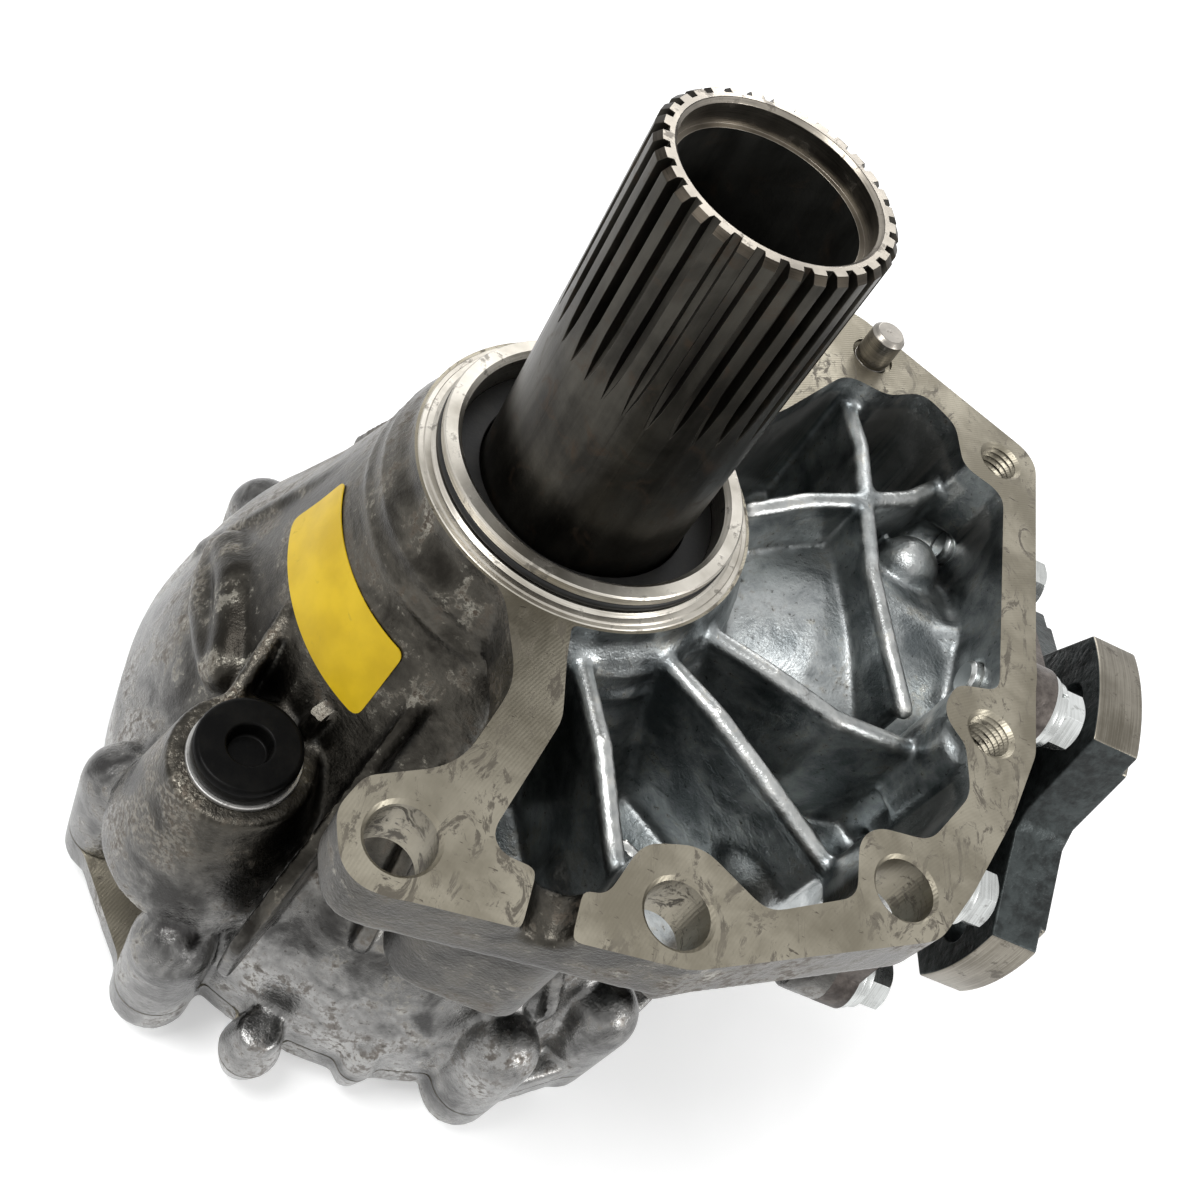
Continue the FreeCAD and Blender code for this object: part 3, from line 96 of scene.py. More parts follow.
class Finish:
    """A surface finish: node() adds a node and gives back one of its outputs as a Field."""

    def __init__(self, name):
        self.material = bpy.data.materials.new(name)
        self.material.use_nodes = True
        self.tree = self.material.node_tree
        self.tree.nodes.clear()
        self.place = self.node("ShaderNodeTexCoord", out="Object")

    def node(self, kind, settings=None, sockets=None, out=0):
        made = self.tree.nodes.new(kind)
        for name, value in (settings or {}).items():
            if name == "stops":
                ramp = made.color_ramp
                ramp.elements[0].position, ramp.elements[0].color = value[0]
                ramp.elements[1].position, ramp.elements[1].color = value[-1]
                for position, colour in value[1:-1]:
                    ramp.elements.new(position).color = colour
            else:
                setattr(made, name, value)
        for name, value in (sockets or {}).items():
            if isinstance(value, Field):
                self.tree.links.new(value.socket, made.inputs[name])
            else:
                made.inputs[name].default_value = value
        return Field(self, made.outputs[out])

    def noise(self, scale, detail=3.0, roughness=0.55, stretch=(1, 1, 1), distortion=0.0):
        where = self.node("ShaderNodeMapping", {"vector_type": "POINT"},
                          {"Vector": self.place, "Scale": stretch})
        return self.node("ShaderNodeTexNoise", {}, {"Vector": where, "Scale": scale, "Detail": detail,
                                                    "Roughness": roughness, "Distortion": distortion})

    def ramp(self, value, low, high):
        return self.node("ShaderNodeMapRange", {"interpolation_type": "SMOOTHSTEP"},
                         {"Value": value, "From Min": low, "From Max": high})

    def along(self, axis):
        return self.node("ShaderNodeSeparateXYZ", {}, {0: self.place}, out=axis)

    def worn(self, low, high):
        """0 in hollows to 1 on proud edges, from the surface's own curvature; the cast skin paints shade in
        hollows and highlights on proud edges with it.
        """
        sharp = self.node("ShaderNodeNewGeometry", out="Pointiness")
        return self.ramp(sharp, low, high)

    def mix(self, share, first, second):
        kind = {"data_type": "RGBA"}
        return self.node("ShaderNodeMix", kind, {0: share, 6: first, 7: second}, out=2)

    def bump(self, height, strength, distance):
        return self.node("ShaderNodeBump", {}, {"Height": height, "Strength": strength, "Distance": distance})

    def surface(self, **sockets):
        named = {name.replace("_", " "): value for name, value in sockets.items()}
        shader = self.node("ShaderNodeBsdfPrincipled", {}, named)
        output = self.tree.nodes.new("ShaderNodeOutputMaterial")
        self.tree.links.new(shader.socket, output.inputs["Surface"])
        return self.material


def rgb(red, green, blue):
    return (red, green, blue, 1.0)


def cast_aluminium(name, pocket_share):
    """Die-cast skin: flow marks, brown stains, pits and a stippled flank, with painted light: shade on the
    neck and in hollows, highlights on the skirt and proud rib tops, and a blue-grey reflection in the
    pockets.
    """
    finish = Finish(name)
    flow = finish.noise(26.0, 6.0, 0.62, distortion=0.9)
    patch = finish.noise(85.0, 6.0, 0.62, distortion=0.4)
    grain = finish.noise(1300.0, 3.0, 0.6)
    speck = finish.noise(480.0, 5.0, 0.72)
    tone = finish.ramp(flow * 0.5 + patch * 0.5, 0.38, 0.62)
    height = finish.along("Z")
    low = 1.0 - finish.ramp(height, -0.112, -0.070)
    # Painted light by height: the neck under the flange is painted darker as shade, and the skirt lighter as
    # a painted highlight.
    neck = finish.mix(tone, rgb(0.021, 0.019, 0.016), rgb(0.098, 0.091, 0.077))
    skirt = finish.mix(tone, rgb(0.062, 0.061, 0.060), rgb(0.340, 0.337, 0.328))
    warm = finish.mix(low, neck, skirt)
    # Painted reflection: inside the pockets the skin takes a blue-grey tint for the surroundings they
    # reflect.
    pocket_reflection = finish.mix(tone, rgb(0.130, 0.145, 0.150), rgb(0.470, 0.490, 0.490))
    east = finish.along("X")
    south = finish.along("Y") * -1.0
    beyond = (1.0 - finish.ramp(east * 0.5 + south * 0.866, 0.098, 0.101)) \
        * (1.0 - finish.ramp(east * 0.2 + south * 0.98, 0.095, 0.098))
    inside = finish.ramp(east, -0.004, 0.010) * finish.ramp(height, -0.070, -0.055) * beyond * pocket_share
    colour = finish.mix(inside, warm, pocket_reflection)
    stain = finish.ramp(patch * 0.55 + flow * 0.45, 0.49, 0.58) * finish.ramp(speck, 0.46, 0.58)
    stain = stain * (1.0 - inside * 0.8)
    pits = finish.ramp(speck * 0.7 + grain * 0.3, 0.58, 0.64)
    # Painted highlight: proud rib tops and edges in the pockets are painted bright from the surface's
    # curvature.
    rib_highlight = finish.worn(0.507, 0.545) * inside * (1.0 - finish.ramp(height, -0.0070, -0.0045))
    # Painted shade: concave hollows are painted dark from the surface's curvature.
    hollow = 1.0 - finish.worn(0.44, 0.495)
    bare = finish.ramp(patch * 0.6 + speck * 0.4, 0.55, 0.60) * (1.0 - stain)
    pebble = finish.ramp(finish.noise(820.0, 3.0, 0.55), 0.44, 0.58)
    coarse = finish.ramp(flow * 0.6 + patch * 0.4, 0.47, 0.53) * (1.0 - finish.ramp(east, -0.058, -0.044))
    stipple = finish.mix(pebble, rgb(0.060, 0.052, 0.042), rgb(0.260, 0.240, 0.200))
    colour = finish.mix(coarse * (1.0 - low * 0.6) * 0.6, colour, stipple)
    colour = finish.mix(bare * (0.5 - low * 0.25), colour, rgb(0.42, 0.40, 0.34))
    colour = finish.mix(stain * 0.7, colour, rgb(0.070, 0.052, 0.036))
    colour = finish.mix(pits * 0.65, colour, rgb(0.020, 0.017, 0.014))
    # Painted shade in the hollows.
    colour = finish.mix(hollow * 0.6, colour, rgb(0.040, 0.041, 0.040))
    # Painted highlight on the proud rib tops.
    colour = finish.mix(rib_highlight * 0.7, colour, rgb(0.66, 0.65, 0.62))
    rough = 0.24 - low * 0.09 + patch * 0.16 + stain * 0.22 + hollow * 0.1
    relief = grain * 0.25 + patch * 0.9 + speck * 0.3 + pebble * coarse * 0.5
    return finish.surface(Base_Color=colour, Metallic=1.0 - stain * 0.3 - hollow * 0.2, Roughness=rough,
                          Normal=finish.bump(relief, 0.45, 0.0010))


def milled_aluminium(name):
    """A face-milled surface: warm grey, faint crossing arcs, brown scuffs and short dark scratches."""
    finish = Finish(name)
    wide = finish.noise(38.0, 5.0, 0.6, stretch=(1, 1, 0.2), distortion=0.4)
    scuff = finish.noise(150.0, 7.0, 0.74, stretch=(1.0, 0.5, 1.0), distortion=1.6)
    place = finish.node("ShaderNodeMapping", {"vector_type": "POINT"},
                        {"Vector": finish.place, "Location": (-0.21, 0.16, 0.0)})
    lines = finish.node("ShaderNodeTexWave", {"wave_type": "RINGS", "rings_direction": "SPHERICAL"},
                        {"Vector": place, "Scale": 420.0, "Distortion": 1.5, "Detail": 2.0,
                         "Detail Scale": 1.5}, out="Fac")
    fine = finish.noise(900.0, 3.0, 0.6, stretch=(1.0, 0.12, 1.0))
    nicks = finish.ramp(finish.noise(640.0, 3.0, 0.75, stretch=(0.35, 1.0, 1.0)), 0.63, 0.70)
    tone = finish.ramp(wide, 0.35, 0.68)
    colour = finish.mix(tone, rgb(0.190, 0.172, 0.132), rgb(0.345, 0.318, 0.255))
    dull = finish.ramp(scuff, 0.52, 0.60) * finish.ramp(wide, 0.36, 0.56)
    colour = finish.mix(dull * 0.85, colour, rgb(0.075, 0.064, 0.050))
    colour = finish.mix(nicks * 0.8, colour, rgb(0.06, 0.05, 0.042))
    rough = 0.36 + fine * 0.12 + dull * 0.2
    relief = lines * 0.3 + fine * 0.3 - dull * 0.5 - nicks * 0.8
    return finish.surface(Base_Color=colour, Metallic=1.0 - dull * 0.45, Roughness=rough,
                          Normal=finish.bump(relief, 0.18, 0.0003))


def linked(name, mesh):
    made = bpy.data.objects.new(name, mesh)
    bpy.context.scene.collection.objects.link(made)
    return made


def piece_from(name, form):
    """Turns a finished bmesh into an object and frees it."""
    mesh = bpy.data.meshes.new(name)
    form.to_mesh(mesh)
    form.free()
    return linked(name, mesh)


def solid_copy(node):
    """The node's solid as a closed bmesh: its loose triangles are merged."""
    form = bmesh.new()
    form.from_mesh(nodes[node].data)
    bmesh.ops.remove_doubles(form, verts=form.verts, dist=2e-6)
    return form


def raise_faces(form, axis, level, side, stock):
    """Adds machining stock: the flat faces at that level are pulled outwards."""
    faces = [f for f in form.faces
             if f.normal[axis] * side > 0.999 and abs(f.calc_center_median()[axis] - level) < 2e-5]
    grown = bmesh.ops.extrude_face_region(form, geom=faces)
    moved = [v for v in grown["geom"] if isinstance(v, bmesh.types.BMVert)]
    shift = Vector((0, 0, 0))
    shift[axis] = stock * side
    bmesh.ops.translate(form, verts=moved, vec=shift)
    bmesh.ops.delete(form, geom=faces, context="FACES_ONLY")


AXIS_TURN = {"Z": Matrix.Identity(3), "X": Matrix.Rotation(math.radians(90), 3, "Y"),
             "Y": Matrix.Rotation(math.radians(-90), 3, "X")}


def add_turned(form, profile, place=(0, 0, 0), axis="Z", steps=64, material=0):
    """Spins a closed profile of (radius, height) points about an axis into a solid of revolution."""
    verts = [form.verts.new((radius, 0, height)) for radius, height in profile]
    edges = [form.edges.new((verts[i], verts[(i + 1) % len(verts)])) for i in range(len(verts))]
    spun = bmesh.ops.spin(form, geom=verts + edges, axis=(0, 0, 1), cent=(0, 0, 0), dvec=(0, 0, 0),
                          angle=math.tau, steps=steps, use_merge=True)
    reached = set(v for v in spun["geom_last"] if isinstance(v, bmesh.types.BMVert))
    todo = list(reached)
    while todo:
        here = todo.pop()
        for edge in here.link_edges:
            other = edge.other_vert(here)
            if other not in reached:
                reached.add(other)
                todo.append(other)
    bmesh.ops.remove_doubles(form, verts=list(reached), dist=1e-7)
    body = [v for v in reached if v.is_valid]
    faces = list({f for v in body for f in v.link_faces})
    bmesh.ops.recalc_face_normals(form, faces=faces)
    for face in faces:
        face.material_index = material
        face.smooth = True
    bmesh.ops.transform(form, matrix=AXIS_TURN[axis].to_4x4(), verts=body)
    bmesh.ops.translate(form, vec=Vector(place), verts=body)
    return body


def add_block(form, low, high):
    made = bmesh.ops.create_cube(form, size=1.0)["verts"]
    low, high = Vector(low), Vector(high)
    bmesh.ops.scale(form, vec=high - low, verts=made)
    bmesh.ops.translate(form, vec=(low + high) / 2, verts=made)


def applied(piece):
    """Bakes a piece's modifiers into its mesh."""
    graph = bpy.context.evaluated_depsgraph_get()
    done = bpy.data.meshes.new_from_object(piece.evaluated_get(graph))
    piece.modifiers.clear()
    old = piece.data
    piece.data = done
    bpy.data.meshes.remove(old)
    return piece


def cast_skin(piece, voxel, passes, share):
    """Rounds every edge and corner the way a casting does, then thins the flat parts of the mesh."""
    skin = piece.modifiers.new("skin", "REMESH")
    skin.mode = "VOXEL"
    skin.voxel_size = voxel
    skin.use_smooth_shade = True
    soften = piece.modifiers.new("soften", "SMOOTH")
    soften.factor = 0.5
    soften.iterations = passes
    thin = piece.modifiers.new("thin", "DECIMATE")
    thin.ratio = share
    return applied(piece)


def machined(piece, cutters):
    """Cuts the solids of the cutters out of the piece; the cut faces take the cutter's finish."""
    for cutter in cutters:
        cut = piece.modifiers.new("cut", "BOOLEAN")
        cut.operation = "DIFFERENCE"
        cut.solver = "MANIFOLD"
        cut.object = cutter
        cut.material_mode = "TRANSFER"
    applied(piece)
    for cutter in cutters:
        bpy.data.objects.remove(cutter)
    return piece


def crisp(piece, degrees=32.0):
    for face in piece.data.polygons:
        face.use_smooth = True
    piece.data.set_sharp_from_angle(angle=math.radians(degrees))
    return piece


case_skin = cast_aluminium("cast_aluminium", 1.0)
milled = milled_aluminium("milled_aluminium")


def thread_points(radius, start, depth, pitch):
    """The zigzag side of a tapped hole, from its mouth down."""
    points = []
    z = start
    while z > -depth:
        points.append((radius - 0.0006, z))
        points.append((radius + 0.0003, z - pitch / 2))
        z -= pitch
    return points


def turned_cutter(name, parts):
    form = bmesh.new()
    for profile, place, axis in parts:
        add_turned(form, profile, place, axis, 96)
    cutter = piece_from(name, form)
    cutter.data.materials.append(milled)
    return cutter


RIB_LINES = (((64, 84, -9), (71, 62, -7), (73.5, 42, -6), (78, 20, -7), (86, 0, -9), (93, -13, -12)),
             ((44, 24, -9), (58, 34, -7), (73.5, 42, -6), (88, 54, -9), (100, 70, -13)),
             ((36, -19, -8), (56, -24, -7), (74, -27, -9), (90, -24, -12), (100, -21, -15)),
             ((29, -31, -8), (44, -41, -7), (60, -52, -9), (79, -64, -13)),
             ((12, -43, -8), (20, -60, -7), (28, -78, -11), (34, -88, -15)))
RIB_BEAD = 0.0026
BELL_BOSSES = (([(-73.1, 0.3, -84.1), (-72.2, -9.9, -83.6), (-70.0, -18.6, -82.7), (-65.4, -28.5, -80.7),
                 (-60.6, -36.6, -79.7)], 0.0055, 0.0034),
               ([(-71.0, -1.6, -80.0), (-66.2, -14.0, -73.8), (-63.5, -22.0, -73.5), (-60.6, -31.0, -74.5),
                 (-59.0, -37.3, -76.9)], 0.0062, 0.0038))
RIB_DROP = 0.0018
PLUG_TOP = 0.003
NECK_TOP = -0.022
NECK_TOP_RADIUS = 0.0470
NECK_FLARE = 0.38
WEB_TURNS = (226, 250)
WEB_HEIGHTS = (-0.0605, -0.030)
WEB_START = -0.052
WEB_LEAN = 1.6
WEB_GAP = 0.00015
BEYOND = 0.2


def neck_radius(z):
    """The cone of the neck: its outside radius at a height."""
    return NECK_TOP_RADIUS + (NECK_TOP - z) * NECK_FLARE


def add_plug(form, place, radius, depth):
    """Closes a drilled hole before the casting skin is made; the hole is cut again afterwards."""
    profile = [(0, PLUG_TOP), (radius, PLUG_TOP), (radius, -depth), (0, -depth)]
    add_turned(form, profile, (*place, 0), "Z", 24)


def add_bead(form, start, end, radius):
    """A round bar with domed ends, laid along the top of a rib."""
    run = end - start
    turn = run.to_track_quat("Z", "Y").to_matrix().to_4x4()
    bar = bmesh.ops.create_cone(form, cap_ends=True, segments=16, radius1=radius, radius2=radius,
                                depth=run.length)["verts"]
    bmesh.ops.transform(form, matrix=Matrix.Translation((start + end) / 2) @ turn, verts=bar)
    for tip in (start, end):
        dome = bmesh.ops.create_uvsphere(form, u_segments=16, v_segments=10, radius=radius)["verts"]
        bmesh.ops.translate(form, vec=tip, verts=dome)


raw = solid_copy("main_case")
raise_faces(raw, 2, FLANGE_FACE, 1, MACHINING_STOCK)
raise_faces(raw, 2, JOINT_FACE, -1, MACHINING_STOCK)
raise_faces(raw, 0, OUTPUT_FACE, 1, MACHINING_STOCK)
for place in THROUGH_HOLES:
    add_plug(raw, place, radius=0.009, depth=0.015)
for place in TAPPED_HOLES:
    add_plug(raw, place, radius=0.007, depth=0.027)
add_plug(raw, DOWEL_PLACE, radius=0.007, depth=0.015)
for line in RIB_LINES:
    crest = [Vector(point) / 1000 - Vector((0, 0, RIB_DROP)) for point in line]
    for start, end in zip(crest, crest[1:]):
        add_bead(raw, start, end, RIB_BEAD)
for line, radius, sink in BELL_BOSSES:
    points = [Vector(point) / 1000 for point in line]
    points = [p * (1 - sink / p.length) for p in points]
    for start, end in zip(points, points[1:]):
        add_bead(raw, start, end, radius)
case = piece_from("case_casting", raw)
cast_skin(case, voxel=0.0009, passes=12, share=0.20)
for vert in case.data.vertices:
    turn = math.degrees(math.atan2(vert.co.y, vert.co.x)) % 360
    if WEB_TURNS[0] < turn < WEB_TURNS[1] and WEB_HEIGHTS[0] < vert.co.z < WEB_HEIGHTS[1]:
        reach = math.hypot(vert.co.x, vert.co.y)
        lean = neck_radius(vert.co.z) + WEB_GAP + max(0.0, WEB_START - vert.co.z) * WEB_LEAN
        if reach > lean:
            vert.co.x *= lean / reach
            vert.co.y *= lean / reach
case.data.materials.append(case_skin)
case.data.materials.append(milled)
facing = bmesh.new()
add_block(facing, (-BEYOND, -BEYOND, FLANGE_FACE), (BEYOND, BEYOND, 0.05))
add_block(facing, (-BEYOND, -BEYOND, -BEYOND), (BEYOND, BEYOND, JOINT_FACE))
facing = piece_from("facing", facing)
facing.data.materials.append(milled)
end_facing = bmesh.new()
add_block(end_facing, (OUTPUT_FACE, -BEYOND, -BEYOND), (BEYOND, BEYOND, 0.1))
end_facing = piece_from("end_facing", end_facing)
end_facing.data.materials.append(milled)
holes = []
for x, y in THROUGH_HOLES:
    r = THROUGH_RADIUS
    holes.append(([(0, 0.01), (r + 0.0016, 0.01), (r + 0.0016, 0.0008), (r, -0.0008), (r, -0.03), (0, -0.03)],
                  (x, y, 0), "Z"))
for x, y in TAPPED_HOLES:
    r = TAPPED_RADIUS + 0.0006
    holes.append(([(0, 0.01), (r + 0.0014, 0.01), (r + 0.0014, 0.0007)]
                  + thread_points(r, -0.0009, TAPPED_DEPTH, THREAD_PITCH)
                  + [(0, -TAPPED_DEPTH - 0.003)], (x, y, 0), "Z"))
holes.append(([(0, 0.01), (0.0062, 0.01), (0.0062, -0.001), (0.0050, -0.0016), (0.0050, -0.014), (0, -0.014)],
              (*DOWEL_PLACE, 0), "Z"))
holes.append(([(0, 0.01), (0.0335, 0.01), (0.0335, -0.011), (0, -0.011)], (0, 0, 0), "Z"))
holes = turned_cutter("holes", holes)
machined(case, [facing, end_facing, holes])
crisp(case)
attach(case, "case")
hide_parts("main_case")

# Spigot ring.
# The turned land round the input shaft that centres the gearbox; it is part of the case and
# carries an O-ring groove, with two fine steps below it.
SPIGOT_BORE = 0.0320
SPIGOT_LAND = 0.0363
GROOVE_FLOOR = 0.0342
COLLAR = 0.0375


def turned_metal(name, dark, light, axis, roughness, metallic=1.0):
    """Lathe-turned metal: fine rings round the axis, tonal drift and a few stains."""
    finish = Finish(name)
    drift = finish.noise(60.0, 5.0, 0.6)
    stain = finish.ramp(finish.noise(240.0, 5.0, 0.7), 0.56, 0.68)
    stretch = {"Z": (0.25, 0.25, 12.0), "X": (12.0, 0.25, 0.25), "Y": (0.25, 12.0, 0.25)}[axis]
    rings = finish.noise(260.0, 3.0, 0.6, stretch=stretch)
    colour = finish.mix(finish.ramp(drift * 0.6 + rings * 0.4, 0.36, 0.64), dark, light)
    colour = finish.mix(stain * 0.6, colour, rgb(0.05, 0.042, 0.035))
    rough = roughness + drift * 0.16 + stain * 0.15
    return finish.surface(Base_Color=colour, Metallic=metallic, Roughness=rough,
                          Normal=finish.bump(rings * 0.7 + stain * 0.5, 0.16, 0.0003))


def settled(piece, body, slot, *replaced):
    """Hands a finished piece to the frame: the body it rides on and what it stands for. Its slot argument is
    not used.
    """
    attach(piece, body)
    if replaced:
        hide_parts(*replaced)
    return piece


bright_turned = turned_metal("bright_turned", rgb(0.36, 0.335, 0.29), rgb(0.62, 0.59, 0.53), "Z", 0.24)
ring_form = bmesh.new()
add_turned(ring_form, [(SPIGOT_BORE, -0.0105), (0.0405, -0.0105), (0.0405, -0.0002), (0.0400, 0.0002),
                       (0.0391, 0.0002), (0.0388, 0.0006), (COLLAR, 0.0006), (SPIGOT_LAND + 0.0003, 0.0013),
                       (GROOVE_FLOOR, 0.0013), (GROOVE_FLOOR, 0.0039), (SPIGOT_LAND - 0.0002, 0.0039),
                       (SPIGOT_LAND, 0.0041), (SPIGOT_LAND, 0.0060), (SPIGOT_LAND - 0.0004, 0.0064),
                       (SPIGOT_BORE + 0.0012, 0.0064), (SPIGOT_BORE, 0.0053)], steps=160)
spigot_ring = piece_from("spigot_ring", ring_form)
spigot_ring.data.materials.append(bright_turned)
settled(crisp(spigot_ring), "case", "case_casting")

# Rubber rings and oil seals.
# Nitrile O-rings in their grooves and black lip seals pressed into the bores.


def rubber(name, tone, roughness, sheen):
    """Black rubber with a dusty bloom and a faint mould texture."""
    finish = Finish(name)
    bloom = finish.noise(180.0, 5.0, 0.65)
    grain = finish.noise(1500.0, 2.0, 0.6)
    dusty = rgb(tone * 2.4, tone * 2.3, tone * 2.1)
    colour = finish.mix(finish.ramp(bloom, 0.4, 0.7), rgb(tone, tone, tone), dusty)
    return finish.surface(Base_Color=colour, Roughness=roughness + bloom * 0.18, Specular_IOR_Level=sheen,
                          Normal=finish.bump(grain, 0.15, 0.0002))


def dressed(node, name, finish, edge, degrees=35.0):
    """A copy of a node's solid with small worn radii along its edges."""
    form = solid_copy(node)
    bmesh.ops.dissolve_limit(form, angle_limit=math.radians(0.4), verts=form.verts, edges=form.edges,
                             use_dissolve_boundaries=False, delimit=set())
    piece = piece_from(name, form)
    piece.data.materials.clear()
    for polygon in piece.data.polygons:
        polygon.use_smooth = True
        polygon.material_index = 0
    piece.data.materials.append(finish)
    if edge:
        worn = piece.modifiers.new("worn", "BEVEL")
        worn.limit_method = "ANGLE"
        worn.angle_limit = math.radians(degrees)
        worn.width = edge
        worn.segments = 2
        worn.use_clamp_overlap = True
        piece.data.set_sharp_from_angle(angle=math.radians(degrees))
    even = piece.modifiers.new("even", "WEIGHTED_NORMAL")
    even.keep_sharp = not edge
    return applied(piece)


def torus_ring(name, radius, thickness, place, axis, finish):
    form = bmesh.new()
    turns = [math.tau * k / 14 for k in range(14)]
    round_section = [(radius + thickness * math.cos(turn), thickness * math.sin(turn)) for turn in turns]
    add_turned(form, round_section, place, axis, 128)
    ring = piece_from(name, form)
    ring.data.materials.append(finish)
    return ring


black_rubber = rubber("black_rubber", 0.006, 0.34, 0.3)
seal_rubber = rubber("seal_rubber", 0.006, 0.42, 0.2)
o_ring = torus_ring("spigot_o_ring_round", 0.0354, 0.0012, (0, 0, 0.0026), "Z", black_rubber)
settled(o_ring, "case", "black_rubber", "spigot_o_ring")
for node, name in (("input_oil_seal", "input_seal_lips"), ("cover_oil_seal", "cover_seal_lips")):
    settled(dressed(node, name, seal_rubber, 0.0002), "case", "seal_black", node)
for node in ("retainer_o_ring", "pinion_oil_seal"):
    nodes[node].data.materials.clear()
    nodes[node].data.materials.append(seal_rubber)

# Input shaft.
# A hollow forged steel shaft with 31 ground splines, left dark by phosphate and oil; the
# counterbore in its tip is turned bright and the end face is duller.


def oiled_steel(name, dark, light, roughness):
    """Dark oiled steel: cloudy tone, long draw marks and rust-brown smears."""
    finish = Finish(name)
    cloud = finish.noise(42.0, 6.0, 0.62, distortion=0.5)
    draw = finish.noise(190.0, 4.0, 0.6, stretch=(1.0, 1.0, 0.12))
    smear = finish.ramp(finish.noise(120.0, 6.0, 0.7, distortion=1.2), 0.52, 0.68)
    grain = finish.noise(1100.0, 3.0, 0.65)
    colour = finish.mix(finish.ramp(cloud * 0.6 + draw * 0.4, 0.36, 0.66), dark, light)
    colour = finish.mix(smear * 0.5, colour, rgb(0.055, 0.035, 0.022))
    rough = roughness + cloud * 0.16 + smear * 0.12
    return finish.surface(Base_Color=colour, Metallic=0.92, Roughness=rough,
                          Normal=finish.bump(draw * 0.6 + grain * 0.35, 0.2, 0.0003))


shaft_dark = oiled_steel("shaft_dark", rgb(0.016, 0.0145, 0.012), rgb(0.060, 0.056, 0.047), 0.26)
shaft_bright = turned_metal("shaft_bright", rgb(0.15, 0.135, 0.115), rgb(0.34, 0.31, 0.265), "Z", 0.22)
bore_dark = oiled_steel("bore_dark", rgb(0.030, 0.030, 0.027), rgb(0.080, 0.080, 0.072), 0.40)
shaft = dressed("input_shaft", "splined_shaft", shaft_dark, 0.00022, 40.0)
shaft.data.materials.append(shaft_bright)
shaft.data.materials.append(bore_dark)
shaft_end = turned_metal("shaft_end", rgb(0.020, 0.017, 0.013), rgb(0.062, 0.053, 0.042), "Z", 0.32)
shaft.data.materials.append(shaft_end)
for polygon in shaft.data.polygons:
    middle = polygon.center
    reach = math.hypot(middle.x, middle.y)
    if middle.z > 0.0840 and reach < 0.0212:
        polygon.material_index = 1
    elif middle.z > 0.0890 and polygon.normal.z > 0.5:
        polygon.material_index = 3
    elif reach < 0.0196:
        polygon.material_index = 2
settled(shaft, "input_rotor", "shaft_steel", "input_shaft")

# Dowel pin, plugs, breather and their washers.
# A ground steel dowel, a black breather, and two plugs on soft sealing washers: a moulded filler
# plug with a round hollow in its head and a zinc drain plug.
dowel_steel = turned_metal("dowel_steel", rgb(0.10, 0.095, 0.088), rgb(0.30, 0.28, 0.25), "Z", 0.22)
settled(dressed("dowel_pin", "locating_dowel", dowel_steel, 0.0005), "case", "pin_steel", "dowel_pin")
plug_black = rubber("plug_black", 0.0025, 0.24, 0.06)
settled(dressed("filler_plug", "moulded_plug", plug_black, 0.0006), "case", "plug_black", "filler_plug")
soft_metal = turned_metal("soft_metal", rgb(0.30, 0.30, 0.29), rgb(0.55, 0.54, 0.52), "Z", 0.34)
zinc = turned_metal("zinc", rgb(0.42, 0.43, 0.42), rgb(0.72, 0.74, 0.73), "X", 0.20)
small_parts = (("filler_washer", "filler_ring", soft_metal, 0.0003, "soft_washer"),
               ("drain_washer", "drain_ring", soft_metal, 0.0003, "soft_washer"),
               ("drain_plug", "drain_screw", zinc, 0.0005, "plug_steel"),
               ("breather", "breather_cap", plug_black, 0.0005, "plug_black"))
for node, name, finish, edge, slot in small_parts:
    settled(dressed(node, name, finish, edge), "case", slot, node)

# Output retainer.
# The iron carrier for the pinion bearings: lobed, sand-cast and left rough, with zinc-plated screws
# on plain and spring washers.


def rough_iron(name, dark, light, roughness, relief_depth):
    """Sand-cast or forged iron: coarse pebbled relief, scale in two tones and a dull oil film."""
    finish = Finish(name)
    pebble = finish.noise(330.0, 5.0, 0.62)
    coarse = finish.noise(120.0, 4.0, 0.55, distortion=0.5)
    scale = finish.noise(55.0, 5.0, 0.6)
    dimple = finish.node("ShaderNodeTexVoronoi", {"feature": "SMOOTH_F1"},
                         {"Vector": finish.place, "Scale": 210.0, "Randomness": 1.0}, out="Distance")
    colour = finish.mix(finish.ramp(scale * 0.5 + pebble * 0.5, 0.38, 0.62), dark, light)
    rough = roughness + pebble * 0.25
    relief = pebble * 0.55 + coarse * 0.8 + dimple * 0.35
    return finish.surface(Base_Color=colour, Metallic=0.55, Roughness=rough,
                          Normal=finish.bump(relief, 0.55, relief_depth))


retainer_iron = rough_iron("retainer_iron", rgb(0.040, 0.032, 0.028), rgb(0.13, 0.112, 0.100), 0.34, 0.0012)
settled(dressed("pinion_retainer", "bearing_carrier", retainer_iron, 0.0009), "case", "retainer_iron",
        "pinion_retainer")
for node, name, edge in (("retainer_bolts", "retainer_screws", 0.0004),
                         ("retainer_flat_washers", "plain_washers", 0.0003),
                         ("retainer_spring_washers", "spring_washers", 0.00035),
                         ("cover_bolts", "cover_screws", 0.0003)):
    settled(dressed(node, name, zinc, edge), "case", "bolt_zinc", node)

